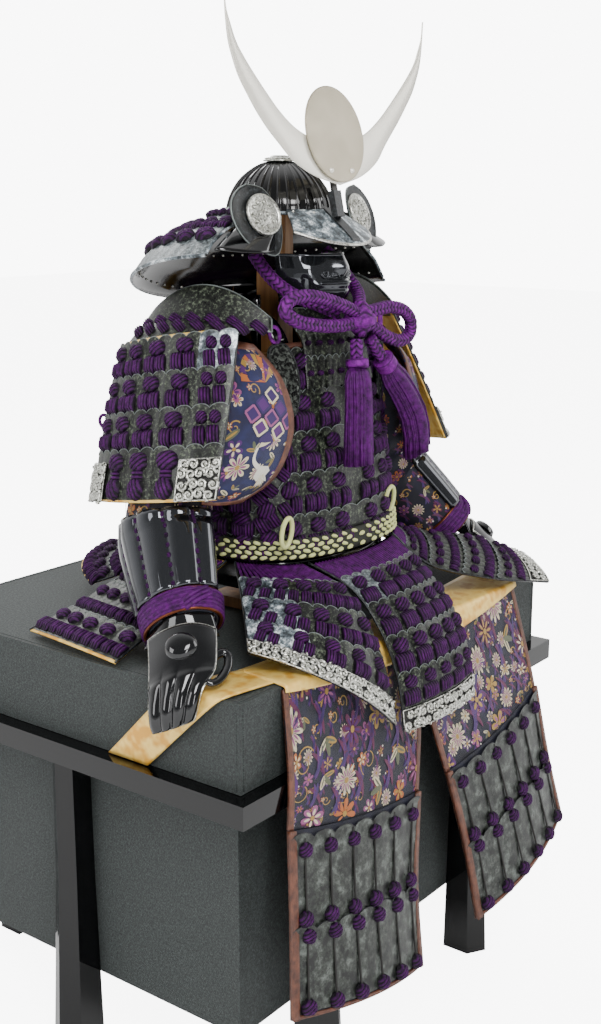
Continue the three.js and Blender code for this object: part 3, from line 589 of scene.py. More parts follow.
def oval(middle, first, second, steps):
    """Points round an oval, from its middle and its two half axes."""
    angle = np.linspace(0, 2 * math.pi, steps, endpoint=False)[:, None]
    return np.asarray(middle, float) + np.asarray(first) * np.cos(angle) + np.asarray(second) * np.sin(angle)


def edge_tubes(surface, edges, lift, radius, steps, sides=6):
    """Tubes along a panel's edges: T its top, B its foot, L and R its sides."""
    t = np.linspace(0, 1, steps)
    ends = {"T": (t, 0.0), "B": (t, 1.0), "L": (0.0, t), "R": (1.0, t)}
    return [tube(raised(surface, *ends[edge], lift), radius, sides) for edge in edges]


def merge(parts):
    """Joins (points, faces) pairs."""
    points, faces, start = [], [], 0
    for p, f in parts:
        points.append(np.asarray(p, float))
        faces += [tuple(start + i for i in face) for face in f]
        start += len(p)
    return np.concatenate(points), faces


def curve_points(keys, steps):
    """Points evenly along a smooth curve through keys."""
    keys = np.asarray(keys, float)
    t = np.linspace(0, len(keys) - 1, 20 * len(keys))
    fine = catmull(keys, t / (len(keys) - 1))
    length = np.concatenate([[0], np.cumsum(np.linalg.norm(np.diff(fine, axis=0), axis=1))])
    at = np.linspace(0, length[-1], steps)
    return np.stack([np.interp(at, length, fine[:, k]) for k in range(3)], 1)


def catmull(keys, t):
    """Centripetal Catmull-Rom curve through keys at t from 0 to 1."""
    keys = np.asarray(keys, float)
    last = len(keys) - 1
    scaled = np.clip(np.asarray(t, float), 0, 1) * last
    index = np.minimum(scaled.astype(int), last - 1)
    w = (scaled - index)[:, None]
    padded = np.concatenate([2 * keys[:1] - keys[1:2], keys, 2 * keys[-1:] - keys[-2:-1]])
    p = [padded[index + k] for k in range(4)]
    d = [np.maximum(np.linalg.norm(p[k + 1] - p[k], axis=1) ** 0.5, 1e-4)[:, None] for k in range(3)]
    m1 = ((p[1] - p[0]) / d[0] - (p[2] - p[0]) / (d[0] + d[1]) + (p[2] - p[1]) / d[1]) * d[1]
    m2 = ((p[2] - p[1]) / d[1] - (p[3] - p[1]) / (d[1] + d[2]) + (p[3] - p[2]) / d[2]) * d[1]
    a = 2 * p[1] - 2 * p[2] + m1 + m2
    b = -3 * p[1] + 3 * p[2] - 2 * m1 - m2
    return ((a * w + b) * w + m1) * w + p[1]


def row_surface(rows):
    """rows of three points (left, middle, right): parabolas across, smooth curves down."""
    rows = np.asarray(rows, float)

    @gridded
    def surface(u, v):
        shape = u.shape
        u, v = u.ravel()[:, None], v.ravel()
        left, mid, right = [catmull(rows[:, k], v) for k in range(3)]
        points = left * (1 - u) * (1 - 2 * u) + mid * 4 * u * (1 - u) + right * u * (2 * u - 1)
        return points.reshape(shape + (3,))
    return surface


def mirrored(surface):
    """The same surface on the other side of the armour, with its normals still outwards."""
    return gridded(lambda u, v: surface(1 - u, v) * MIRROR)


def extent(surface):
    """Width and length of a panel along its middle lines, in millimetres."""
    t = np.linspace(0, 1, 40)
    return [np.linalg.norm(np.diff(line, axis=0), axis=1).sum()
            for line in (surface(t, np.full(40, 0.5)), surface(np.full(40, 0.5), t))]


# ---- Repeats with Geometry Nodes ----
def stamp_tree():
    """Puts an element on points, turned by the attributes `across` and `outward` and sized by `size`."""
    tree = bpy.data.node_groups.new("Stamp", "GeometryNodeTree")
    for title, kind in (("Geometry", "Geometry"), ("Element", "Object"), ("Material", "Material"),
                        ("Size Jitter", "Float"), ("Seed", "Int")):
        tree.interface.new_socket(title, in_out="INPUT", socket_type="NodeSocket" + kind)
    tree.interface.new_socket("Geometry", in_out="OUTPUT", socket_type="NodeSocketGeometry")
    given, result = tree.nodes.new("NodeGroupInput").outputs, tree.nodes.new("NodeGroupOutput")
    across, outward, size = [add_node(tree, "GeometryNodeInputNamedAttribute", {"Name": title}, "Attribute",
                                      data_type="FLOAT_VECTOR") for title in ("across", "outward", "size")]
    turn = add_node(tree, "FunctionNodeAxesToRotation", {"Primary Axis": outward, "Secondary Axis": across},
                    primary_axis="Z", secondary_axis="X")
    chance = add_node(tree, "FunctionNodeRandomValue", {"Min": -1.0, "Max": 1.0, "Seed": given["Seed"]},
                      "Value")
    more = add_node(tree, "ShaderNodeMath", {0: chance, 1: given["Size Jitter"], 2: 1.0},
                    operation="MULTIPLY_ADD")
    scale = add_node(tree, "ShaderNodeVectorMath", {0: size, "Scale": more}, "Vector", operation="SCALE")
    piece = add_node(tree, "GeometryNodeObjectInfo", {"Object": given["Element"], "As Instance": True},
                     "Geometry")
    placed = add_node(tree, "GeometryNodeInstanceOnPoints", {
        "Points": given["Geometry"], "Instance": piece, "Rotation": turn, "Scale": scale})
    real = add_node(tree, "GeometryNodeRealizeInstances", {"Geometry": placed})
    painted = add_node(tree, "GeometryNodeSetMaterial", {"Geometry": real, "Material": given["Material"]})
    tree.links.new(painted, result.inputs["Geometry"])
    return tree


STAMP = stamp_tree()
ELEMENTS = {}


def element(name, build):
    """A repeated piece, drawn once at the origin in millimetres: x across, y up, z outwards."""
    if name not in ELEMENTS:
        points, faces, *layers = build()
        data = bpy.data.meshes.new(name)
        data.from_pydata((np.asarray(points) / 1000.0).tolist(), [], faces)
        # These layers carry the silk's painted shade: groove darkens valleys and rims, and strand places the
        # darker sides of the ridges.
        for title, values in zip(("groove", "strand"), layers):
            data.attributes.new(title, "FLOAT", "POINT").data.foreach_set("value", values)
        data.shade_smooth()
        ELEMENTS[name] = bpy.data.objects.new(name, data)
    return ELEMENTS[name]


def stamped(name, piece, look, spots, jitter=0.04, seed=1, body=BODY):
    """Places piece at spots, a list of (point, across, outward, (sx, sy, sz)), as one plain mesh."""
    data = bpy.data.meshes.new(name)
    data.from_pydata(row(np.array([s[0] for s in spots])).tolist(), [], [])
    for title, index in (("across", 1), ("outward", 2), ("size", 3)):
        values = np.array([s[index] for s in spots], float)
        data.attributes.new(title, "FLOAT_VECTOR", "POINT").data.foreach_set("vector", values.ravel())
    obj = bpy.data.objects.new(name, data)
    bpy.context.collection.objects.link(obj)
    modifier = obj.modifiers.new("Stamp", "NODES")
    modifier.node_group = STAMP
    sockets = {s.name: s.identifier for s in STAMP.interface.items_tree if s.in_out == "INPUT"}
    modifier[sockets["Element"]] = piece
    modifier[sockets["Material"]] = material(look)
    modifier[sockets["Size Jitter"]] = jitter
    modifier[sockets["Seed"]] = seed
    bpy.context.view_layer.update()
    flat = bpy.data.meshes.new_from_object(obj.evaluated_get(bpy.context.evaluated_depsgraph_get()))
    obj.modifiers.clear()
    obj.data = flat
    flat.shade_smooth()
    flat.materials.clear()
    flat.materials.append(material(look))
    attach(obj, body)
    return obj


def spot(surface, u, v, lift=0.0, size=(1.0, 1.0, 1.0), turn=0.0):
    """A place on a surface for a stamped piece, turned by degrees: its y runs up the panel."""
    u, v = np.array([u], float), np.array([v], float)
    outward = normals(surface, u, v)[0]
    du = unit(surface(np.minimum(u + 1e-3, 1), v) - surface(np.maximum(u - 1e-3, 0), v))[0]
    dv = np.cross(outward, du)
    angle = math.radians(turn)
    return surface(u, v)[0] + outward * lift, du * math.cos(angle) + dv * math.sin(angle), outward, size


def pad(width, height, depth, strands, slant=0.0, square=2.0, groove=0.3, columns=14, rows=12):
    """A plump bundle of strands: a dome over a rounded outline, grooved between its strands.

    square is the outline's power, from 2 for an ellipse up to a box with round corners.
    """
    def radius(x, y):
        return (np.abs(x) ** square + np.abs(y) ** square) ** (1 / square)

    def build():
        a, b = [grid.ravel() for grid in np.meshgrid(np.linspace(-1, 1, columns), np.linspace(-1, 1, rows))]
        reach = np.maximum(np.abs(a), np.abs(b)) / np.maximum(radius(a, b), 1e-6)
        x, y = a * reach, b * reach
        r = radius(x, y)
        angle = math.radians(slant)
        phase = (x * math.cos(angle) + y * math.sin(angle)) * strands / 2 + 0.5 * (strands % 2 == 0)
        valley = (1 - np.abs(np.cos(math.pi * phase)) ** 0.6) * (groove > 0)
        z = depth * np.sqrt(np.clip(1 - r ** 3.2, 0, 1)) * (1 - groove * valley)
        points = np.stack([x * width / 2, y * height / 2, z], 1)
        # Painted shade for the silk: the groove layer is darker in the valleys between strands and towards
        # the outline, where the dome meets the plate; the strand layer places the painted shade of each
        # strand's ridge.
        edge = np.clip(0.35 * valley + 0.6 * r ** 5, 0, 1) * (groove > 0)
        return points, grid_faces(columns, rows, flip=True), edge, phase * (groove > 0)
    return build


PUFF = pad(13.8, 12.0, 5.2, 5, slant=-52.0, square=2.4, groove=0.34, columns=15, rows=13)
BAR = pad(9.4, 14.6, 4.4, 4, square=5.0, groove=0.45, columns=15, rows=5)
BLOCK = pad(17.6, 14.4, 4.0, 7, square=6.0, groove=0.45, columns=27, rows=5)
BOSS = pad(21, 19, 5.2, 1, groove=0.0, columns=18, rows=18)
BUD = pad(2.6, 2.6, 1.3, 1, groove=0.0, columns=6, rows=6)


def part_of(surface, u0, u1, v0, v1):
    """The part of a surface between two u and two v, as a surface of its own."""
    return gridded(lambda u, v: surface(u0 + (u1 - u0) * u, v0 + (v1 - v0) * v))


def plates(name, surface, edges, scales, look="plate", high=2.2, low=0.5, rim="rim", dip=0.28):
    """Rows of scale plates between edges, each foot over the next row's scalloped and rimmed head."""
    length = extent(surface)[1]
    u, w = np.meshgrid(np.linspace(0, 1, scales * 8 + 1), np.linspace(0, 1, 7))
    arch = np.abs(np.sin(math.pi * scales * u)) ** 0.6
    lift = high + (low - high) * w + 0.45 * arch
    rows, rims = [], []
    for k, (top, foot) in enumerate(zip(edges, edges[1:])):
        start = top - (dip * 10.0 / length) * (arch - 0.4)
        end = foot + (0.03 * (foot - top) if k < len(edges) - 2 else 0.0)
        v = np.clip(start + (end - start) * w, 0, 1)
        points = raised(surface, u, v, lift)
        rows.append((points.reshape(-1, 3), grid_faces(u.shape[1], 7, flip=True)))
        rims.append(tube(points[0], 0.34, 5))
    add_mesh(name + "_plates", *merge(rows), look)
    add_mesh(name + "_rims", *merge(rims), rim)


def lacing(name, surface, edges, columns, kinds, puff_at=0.28, bar_at=0.72, lift=1.6, grow=1.0, skip=(),
           twins=()):
    """Knots and bundles of silk on each row of plates. kinds says for each row what it carries."""
    length = extent(surface)[1]
    puffs, bars, blocks = [], [], []
    for k, (kind, top, foot) in enumerate(zip(kinds, edges, edges[1:])):
        def at(share):
            return top + (foot - top) * share
        tall = (foot - top) * length
        row_width = max(extent(part_of(surface, 0.0, 1.0, at(0.49), at(0.51)))[0], 1.0)
        wide = row_width / columns
        s = grow * min(wide / 19.4, tall / 27.5)
        deep = min(1.0, max(s, 0.7))
        big = (s, s, deep)
        for c in range(columns):
            if (k, c) in skip:
                continue
            u = (c + 0.5) / columns
            knot_at = at(0.24) if kind == "stack" else at(puff_at)
            if kind == "knot_bars" and c in twins:
                puffs += [spot(surface, u + side * 4.6 * s / row_width, knot_at, lift,
                               (0.62 * s, 0.85 * s, deep))
                          for side in (-1, 1)]
            elif kind != "blocks":
                puffs.append(spot(surface, u, knot_at, lift, big))
            if kind == "knot_bars":
                bars += [spot(surface, u + side * 4.8 * s / row_width, at(bar_at), lift, big)
                         for side in (-1, 1)]
            elif kind == "knot_block":
                blocks.append(spot(surface, u, at(bar_at), lift, (wide / 20.0 * grow, s, deep)))
            elif kind == "stack":
                bars.append(spot(surface, u, at(0.5), lift - 0.4, (s, 0.62 * s, deep), 90.0))
                puffs.append(spot(surface, u, at(0.78), lift, big, 76.0))
    for title, build, spots in (("puff", PUFF, puffs), ("bar", BAR, bars), ("block", BLOCK, blocks)):
        if spots:
            stamped(f"{name}_{title}s", element(title, build), "silk", spots, seed=len(name))


def spiral():
    """The line of a curl, and its share of the way along it."""
    t = np.linspace(0, 1, 13)
    angle = 2 * math.pi * 1.25 * t
    reach = 2.9 - 2.2 * t
    return np.stack([reach * np.cos(angle), reach * np.sin(angle), 0.7 + 0.7 * t], 1), t


def scroll():
    """A curl of chased leaf work with its bud."""
    line, t = spiral()
    leaf_line = np.stack([2.9 + 2.2 * t[:6], -2.6 * t[:6], 0.9 + 0 * t[:6]], 1)
    leaf_width = np.array([0.7, 1.2, 1.5, 1.2, 0.8, 0.3])
    return merge([tube(line, 0.95 - 0.3 * t, 6), tube(leaf_line, leaf_width, 6), BUD()[:2]])


def curl():
    """A finer curl for the small round pieces."""
    line, t = spiral()
    return merge([tube(line, 0.6 - 0.15 * t, 5), BUD()[:2]])


def filigree(name, surface, u_range, v_range, pitch=6.6, lift=0.6, seed=3):
    """A band of open silver leaf work between two beaded edges, over a dark ground."""
    piece = part_of(surface, *u_range, *v_range)
    shell(name + "_ground", piece, 12, 4, 0.8, "recess", lift=lift)
    chance = np.random.default_rng(seed)
    columns, rows_count = [max(1, round(size / pitch)) for size in extent(piece)]
    spots = []
    for j in range(rows_count):
        for i in range(columns):
            u = (i + 0.5 + 0.25 * (j % 2)) / (columns + 0.25) + chance.uniform(-0.12, 0.12) / columns
            v = (j + 0.5) / rows_count + chance.uniform(-0.1, 0.1) / rows_count
            size = pitch / 5.6
            mirror = 1 if chance.random() > 0.5 else -1
            spots.append(spot(piece, np.clip(u, 0, 1), np.clip(v, 0, 1), lift + 0.7,
                              (size * mirror, size, size),
                              chance.uniform(0, 360)))
    stamped(name + "_scrolls", element("scroll", scroll), "silver", spots, 0.1, seed)
    add_mesh(name + "_edges", *merge(edge_tubes(piece, "TBLR", lift + 1.0, 0.55, 40, 5)), "silver")


# ---- Woven figures: flat shapes in millimetres on a panel, each an (outline, thread, level) ----
THREADS = {name: np.array(rgb(code)) for name, code in {
    "cream": "#d6caa8", "pink": "#96507e", "purple": "#4e1c66", "violet": "#321a58", "orange": "#b5652c",
    "gold": "#a8863c", "green": "#5d6248", "white": "#e2ddd0", "wine": "#5c1640"}.items()}


def placed(x, y, turn, px, py):
    """Points (px, py) turned about the origin and moved to (x, y)."""
    c, s = math.cos(turn), math.sin(turn)
    return np.stack([x + px * c - py * s, y + px * s + py * c], 1)


def ellipse(x, y, a, b, turn, points=12, taper=0.0):
    t = np.linspace(0, 2 * math.pi, points, endpoint=False)
    return placed(x, y, turn, a * np.cos(t), b * np.sin(t) * (1 - taper * np.cos(t)))


def ribbon(line, width):
    """The outline of a band along a line; width may be a list."""
    line = np.asarray(line, float)
    along = unit(np.gradient(line, axis=0))
    side = np.stack([-along[:, 1], along[:, 0]], 1) * np.broadcast_to(width, (len(line),))[:, None] / 2
    return np.concatenate([line + side, (line - side)[::-1]])


def flower(x, y, r, petals, outer, inner, turn=0.0):
    shapes = []
    for k in range(petals):
        a = turn + 2 * math.pi * k / petals
        dx, dy = r * math.cos(a), r * math.sin(a)
        petal = ellipse(x + 0.6 * dx, y + 0.6 * dy, 0.46 * r, 1.5 * r / petals, a, 10, -0.4)
        shapes.append((petal, outer, 0))
        shapes.append((ellipse(x + 0.5 * dx, y + 0.5 * dy, 0.28 * r, 0.7 * r / petals, a, 8), inner, 1))
    shapes.append((ellipse(x, y, 0.2 * r, 0.2 * r, 0, 10), "gold", 2))
    return shapes


def leaf(x, y, size, turn, outer, inner):
    return [(ellipse(x, y, size, 0.34 * size, turn, 12), outer, 0),
            (ellipse(x, y, 0.75 * size, 0.12 * size, turn, 8), inner, 1)]


def tendril(x, y, size, turn, tone, hand=1):
    t = np.linspace(0, 1, 22)
    angle = turn + hand * 2 * math.pi * 1.2 * t
    reach = size * (1 - 0.85 * t)
    line = np.stack([x + reach * np.cos(angle), y + reach * np.sin(angle)], 1)
    return [(ribbon(line, 0.9 - 0.3 * t), tone, 0)]


def blade(x, y, size, turn, tone, bend=0.5):
    t = np.linspace(-1, 1, 14)
    line = placed(x, y, turn, size * t, bend * size * (t ** 2 - 0.5))
    return [(ribbon(line, 0.28 * size * (1 - t ** 2) ** 0.6 + 0.2), tone, 0)]


def lattice(x, y, cell, turn):
    """Nine linked lozenges, three by three."""
    shapes = []
    c, s = math.cos(turn), math.sin(turn)
    for i in range(3):
        for j in range(3):
            px, py = (i - 1) * cell * 1.12, (j - 1) * cell * 1.12
            cx, cy = x + px * c - py * s, y + px * s + py * c
            ring = np.array([[-1, -1], [1, -1], [1, 1], [-1, 1], [-1, -1]]) * cell * 0.42
            ring = ring @ np.array([[c, s], [-s, c]]) + [cx, cy]
            tone = ("cream", "violet", "pink")[(i + j) % 3]
            shapes.append((ring[:4], ("violet", "purple")[(i + j) % 2], 0))
            for k in range(4):
                shapes.append((ribbon(ring[k:k + 2], 0.16 * cell), tone, 1))
    return shapes


def crane(x, y, size, turn=0.0, hand=1):
    def at(points):
        p = np.asarray(points, float) * [hand * size, size]
        c, s = math.cos(turn), math.sin(turn)
        return p @ np.array([[c, s], [-s, c]]) + [x, y]

    body = at([[-0.1, -0.25], [0.3, -0.05], [0.42, 0.2], [0.2, 0.42], [-0.1, 0.4], [-0.28, 0.1]])
    shapes = [(body, "white", 0)]
    t = np.linspace(0, 1, 12)
    neck = at(np.stack([-0.12 - 0.22 * np.sin(math.pi * t * 0.9), -0.2 - 0.75 * t], 1))
    shapes.append((ribbon(neck, size * (0.16 - 0.08 * t)), "white", 1))
    head = at([[-0.2, -0.95], [-0.05, -1.08], [0.1, -1.0], [0.34, -0.92], [0.08, -0.9]])
    shapes.append((head, "cream", 2))
    for k in range(6):
        a = 0.9 + 0.22 * k
        root, tip = at([[0.1, 0.2], [0.1 + 0.5 * math.cos(a), 0.25 + 0.55 * math.sin(a)]])
        feather = ribbon(np.linspace(root, tip, 4), size * np.array([0.16, 0.14, 0.1, 0.03]))
        shapes.append((feather, ("white", "cream")[k % 2], 1))
    for side in (-0.05, 0.12):
        shapes.append((ribbon(at([[side, 0.4], [side + 0.03, 0.85]]), size * 0.04), "orange", 0))
    return shapes


def woven(name, surface, shapes, size, lift):
    """Lays shapes on a panel whose width and length are size, apart from those that cross its edge."""
    wide, long = size
    points, faces, colours, uvs, start = [], [], [], [], 0
    for outline, tone, level in shapes:
        outline = np.asarray(outline, float)
        x, y = outline.T
        if not ((x > -2) & (x < wide + 2) & (y > -2) & (y < long + 2)).all():
            continue
        u, v = np.clip(x / wide, 0.005, 0.995), np.clip(y / long, 0.005, 0.995)
        points.append(raised(surface, u, v, lift + 0.12 * level))
        count, half = len(outline), len(outline) // 2
        closing = np.linalg.norm(outline[0] - outline[-1])
        across = np.linalg.norm(outline[0] - outline[half])
        if count >= 8 and count % 2 == 0 and closing < 0.6 * across:
            # a ribbon: quads between its two sides
            faces += [(start + i, start + i + 1, start + count - 2 - i, start + count - 1 - i)
                      for i in range(half - 1)]
        else:
            faces.append(tuple(range(start, start + count)))
        colours.append(np.tile(THREADS[tone], (count, 1)))
        uvs.append(outline)
        start += count
    add_mesh(name, np.concatenate(points), faces, "threads", uv=np.concatenate(uvs),
             colour=np.concatenate(colours), smooth=False)


def meadow(size, seed, spacing=15.0, blades=True):
    """A loose all-over pattern of flowers, leaves and tendrils."""
    chance = np.random.default_rng(seed)
    wide, long = size
    spots, tries = [], 0
    while tries < 4000:
        tries += 1
        p = chance.uniform((3, 3), (wide - 3, long - 3))
        if all(np.hypot(*(p - q)) > spacing for q in spots):
            spots.append(p)
    shapes = []
    tones = ["cream", "pink", "purple", "orange", "gold", "wine", "purple", "wine"]

    def pick():
        return tones[chance.integers(len(tones))]

    for index, (x, y) in enumerate(spots):
        kind, turn = chance.integers(6), chance.uniform(0, 2 * math.pi)
        r = spacing * chance.uniform(0.36, 0.5)
        if kind in (0, 1):
            shapes += flower(x, y, r, int(chance.choice([5, 6, 8])), pick(), pick(), turn)
        elif kind == 2:
            shapes += flower(x, y, r * 1.05, 12, "cream", "pink", turn)
        elif kind == 3:
            for k in range(3):
                a = turn + k
                shapes += leaf(x + 0.5 * r * math.cos(a), y + 0.5 * r * math.sin(a), r * 0.62, a,
                               ("cream", "green", "gold")[k], "green")
        elif kind == 4:
            shapes += tendril(x, y, r * 0.9, turn, "gold", 1 if index % 2 else -1)
            shapes += flower(x + r * 0.7, y - r * 0.3, r * 0.45, 5, "orange", "cream", turn)
        else:
            for a in (0, 2, 4):
                berry = ellipse(x + 0.7 * r * math.cos(a), y + 0.7 * r * math.sin(a), 0.8, 0.8, 0, 8)
                shapes.append((berry, "white", 0))
            shapes += flower(x, y, r * 0.7, 5, pick(), "gold", turn)
        if blades:
            for k in range(3):
                a = -math.pi / 2 + 0.5 * (k - 1) + chance.uniform(-0.2, 0.2)
                shapes += blade(x + spacing * 0.45 * math.cos(a + 1.6), y + spacing * 0.5, r * 1.1, a,
                                ("violet", "purple", "wine")[k], 0.25)
    return shapes


def binding(name, surface, width_mm, edges="LRTB", lift=0.0, thickness=1.5):
    """A leather strip sewn over the edges of a cloth panel, on both faces."""
    width, length = extent(surface)
    a, b = width_mm / width, width_mm / length
    strips = {"L": (0.0, a, 0.0, 1.0), "R": (1 - a, 1.0, 0.0, 1.0), "T": (0.0, 1.0, 0.0, b),
              "B": (0.0, 1.0, 1 - b, 1.0)}
    return [shell(f"{name}_binding_{edge}", part_of(surface, *strips[edge]),
                  *((5, 40) if edge in "LR" else (40, 5)),
                  thickness, "leather", lift=lift) for edge in edges]


# ---- Chest and post ----
def dress(node, look, bevel, segments=3):
    """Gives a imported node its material, and rounds its edges by bevel millimetres."""
    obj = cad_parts[node]
    obj.data.materials.clear()
    obj.data.materials.append(material(look))
    modifier = obj.modifiers.new("soft edges", "BEVEL")
    modifier.width = bevel * MM
    modifier.segments = segments
    modifier.limit_method = "ANGLE"
    modifier.harden_normals = False


def chest():
    dress("chest_body", "chest_cloth", 1.6)
    dress("chest_lid", "chest_cloth", 4.0, 4)
    dress("chest_rail", "stand_lacquer", 1.2)
    for side in ("front_right", "front_left", "back_right", "back_left", "side_right", "side_left"):
        dress("leg_" + side, "stand_lacquer", 0.9)
    dress("post_stand", "wood", 0.8)
    # seams where the cloth of the lid is folded over its corners, and round its top
    low, high = drawn_box("chest_lid")
    fold, inset, seam = 3.2, 3.4, 0.45
    folds = []
    for x, sx in ((low[0], -1), (high[0], 1)):
        for y, sy in ((low[1], -1), (high[1], 1)):
            for px, py in ((x - sx * fold, y), (x, y - sy * fold)):
                folds.append(tube([(px, py, z) for z in np.linspace(low[2] + 2, high[2] - 3, 12)], seam, 5))
    add_mesh("lid_corner_seams", *merge(folds), "chest_cloth")
    a, b, z = low + inset, high - inset, high[2] - 0.1
    corners = [(a[0], a[1], z), (b[0], a[1], z), (b[0], b[1], z), (a[0], b[1], z), (a[0], a[1], z)]
    sides = [tube(np.linspace(start, end, 24), seam, 5) for start, end in zip(corners, corners[1:])]
    add_mesh("lid_top_seam", *merge(sides), "chest_cloth")


# ---- Helmet ----
HELMET_Y = -42.0
HELMET_HALF, HELMET_DEPTH = 35.0, 39.0
RIM_Z = 591.0
BOWL_OUTLINE = [(37.6, 588.9), (37.8, 592), (36.6, 598), (33, 606), (27, 614), (18.5, 620.6), (10, 624.6),
                (3, 625.6)]
BOWL_RIM = [(38.0, 588.6), (39.0, 589.0), (39.0, 590.8), (38.0, 591.2), (37.2, 590)]
CROWN_RING = [(3.4, 625.8), (11.6, 625.2), (12.0, 626.0), (9.0, 626.8), (7.0, 627.4), (6.4, 629.0),
              (4.2, 629.4),
              (3.6, 627.6), (3.4, 625.8)]
BOWL_RIBS = 32
UP = np.array([0.0, 0.0, 1.0])


def lathe(outline, segments, ribs=0, rib=0.0, scale=(1.0, 1.0)):
    """A turned piece about the helmet's axis, from (radius, z), with ribs that fade out at the crown."""
    angle = np.linspace(0, 2 * math.pi, segments, endpoint=False)
    grow = rib * np.clip(np.cos(angle * ribs) * 3 - 2, 0, 1) * (ribs > 0)
    points = []
    for radius, z in outline:
        r = radius + grow * min(1.0, radius / 12.0)
        points.append(np.stack([r * np.sin(angle) * scale[0], HELMET_Y - r * np.cos(angle) * scale[1],
                                z + 0 * r], 1))
    return np.concatenate(points), grid_faces(segments, len(outline), 0, True)


def smooth_outline(keys, steps):
    """Points evenly along a smooth flat curve through keys."""
    keys = np.asarray(keys, float)
    return curve_points(np.column_stack([keys, np.zeros(len(keys))]), steps)[:, :2]


def bowl():
    outer = smooth_outline(BOWL_OUTLINE, 26)
    inner = [(r - 1.7 if r > 4 else 1.5, z - 1.4) for r, z in outer[::-1]]
    inner[-1] = (36.0, 588.9)
    scale = (HELMET_HALF / 38.0, HELMET_DEPTH / 38.0)
    points, faces = lathe(np.concatenate([outer, inner]), BOWL_RIBS * 12, BOWL_RIBS, 1.5, scale)
    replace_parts(add_mesh("bowl", points, faces, "lacquer"), "helmet_bowl")
    add_mesh("bowl_rim", *lathe(BOWL_RIM, 120, scale=scale), "visor")
    # the crown ring: stacked petals round an opening
    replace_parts(add_mesh("crown_ring", *lathe(CROWN_RING, 64), "silver"), "crown_finial")
    middle = np.array([0, HELMET_Y, 626.6])
    petals = [(middle + out * 9.4, np.cross(UP, out), UP + out * 0.3, (0.62, 0.62, 0.7))
              for out in oval((0, 0, 0), (0, -1.0, 0), (1.0, 0, 0), 16)]
    stamped("crown_petals", element("curl", curl), "silver", petals, 0.02)


def helmet_ring(angle, margin):
    """The bowl's edge, margin outside it."""
    return np.stack([-(HELMET_HALF + margin) * np.sin(angle), HELMET_Y - (HELMET_DEPTH + margin)
                     * np.cos(angle),
                     RIM_Z + 0 * angle], -1)


GUARD_REACH = 106.0


@gridded
def guard_surface(u, s):
    """The neck guard: from the bowl's edge out and down to a wide rim, round the back."""
    angle, t = np.radians(79.0 + (281.0 - 79.0) * u), 0.02 + 0.98 * s
    top = helmet_ring(angle, 0.6)
    x, y = -GUARD_REACH * np.sin(angle), HELMET_Y - GUARD_REACH * np.cos(angle)
    rim = np.stack([x, y, 541 - 0.126 * x - 0.2 * y - 0.001 * y ** 2], -1)
    points = top * (1 - t[..., None]) + rim * t[..., None]
    drop = np.interp(t, [0, 0.33, 0.62, 0.85, 1], [0, 0.27, 0.45, 0.71, 1])
    points[..., 2] = RIM_Z + (rim[..., 2] - RIM_Z) * drop
    return points


def neck_guard():
    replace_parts(shell("neck_guard_shell", guard_surface, 90, 20, 1.6, "lacquer"), "neck_guard")
    plates("neck_guard", guard_surface, [0.0, 0.3, 0.62, 1.0], 30, "pale", high=2.9, low=1.7)
    lacing("neck_guard", guard_surface, [0.04, 0.3, 0.62, 1.0], 18, ["knots", "knot_bars", "knots"], 0.36,
           0.76,
           lift=3.0, grow=1.12)
    hem = edge_tubes(guard_surface, "B", 1.4, 1.3, 120, 8)
    down = np.linspace(0, 1, 120)[::4]
    ends = [tube(raised(guard_surface, u, down, 1.3), 1.0, 6) for u in (0.0, 1.0)]
    add_mesh("neck_guard_hem", *merge(hem + ends), "visor")
    rivets = [spot(guard_surface, u, v, -0.2, (0.7, 0.7, -0.7)) for v in (0.66, 0.93)
              for u in np.linspace(0.03, 0.97, 34)]
    stamped("neck_guard_rivets", element("bud", BUD), "silver", rivets, 0.0)


@gridded
def visor_surface(u, v):
    share = 1 - 2 * u
    angle = -np.radians(48.0 * share)
    low = np.stack([-57.0 * np.sin(angle), HELMET_Y - 68.0 * np.cos(angle), 568.0 + 9.0 * share ** 2], -1)
    points = helmet_ring(angle, 1.0) * (1 - v[..., None]) + low * v[..., None]
    points[..., 2] += 3 * v * (1 - v)
    return points


def visor():
    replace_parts(shell("visor_sheet", visor_surface, 60, 16, 1.6, "visor"), "visor")
    add_mesh("visor_edge", *edge_tubes(visor_surface, "B", 0.8, 1.1, 70, 8)[0], "silver")
    rivets = [spot(visor_surface, u, 0.12, 1.7, (0.8, 0.8, 0.8)) for u in (0.06, 0.28, 0.72, 0.94)]
    stamped("visor_rivets", element("bud", BUD), "silver", rivets, 0.0)


EAR_YAW, EAR_LEAN = math.radians(10), math.radians(20)
EAR_AXES = np.array([
    (math.cos(EAR_YAW), -math.sin(EAR_YAW), 0.0),
    (math.sin(EAR_YAW) * math.sin(EAR_LEAN), math.cos(EAR_YAW) * math.sin(EAR_LEAN), math.cos(EAR_LEAN)),
    (-math.sin(EAR_YAW) * math.cos(EAR_LEAN), -math.cos(EAR_YAW) * math.cos(EAR_LEAN), math.sin(EAR_LEAN))])
EAR_ORIGIN = np.array([-56.2, -73.8, 589.7]) - 4 * EAR_AXES[2]
EAR_MIDDLE = np.array([-5.0, -3.0])


EAR = [(-8, 22), (5, 19), (12, 10), (15, -3), (12.5, -17), (5, -28), (-8, -25.5), (-20, -17), (-26.5, -3),
       (-25, 9), (-17, 18)]


MIRROR = np.array([-1.0, 1.0, 1.0])


def both_sides():
    """For each side its name, and what moves points and turns faces from the right side to it."""
    return (("right", lambda points: points, lambda faces: faces),
            ("left", lambda points: np.asarray(points) * MIRROR, flip_faces))


def flip_faces(faces):
    return [tuple(f)[::-1] for f in faces]


def circle(steps):
    return oval((0, 0), (1.0, 0), (0, 1.0), steps)


def stepped(middle, axes, outline, rings):
    """An outline in the plane of the first two axes, in rings of (scale, height) along the third."""
    return np.concatenate([middle + (outline * scale) @ axes[:2] + axes[2] * height for scale,
                           height in rings])


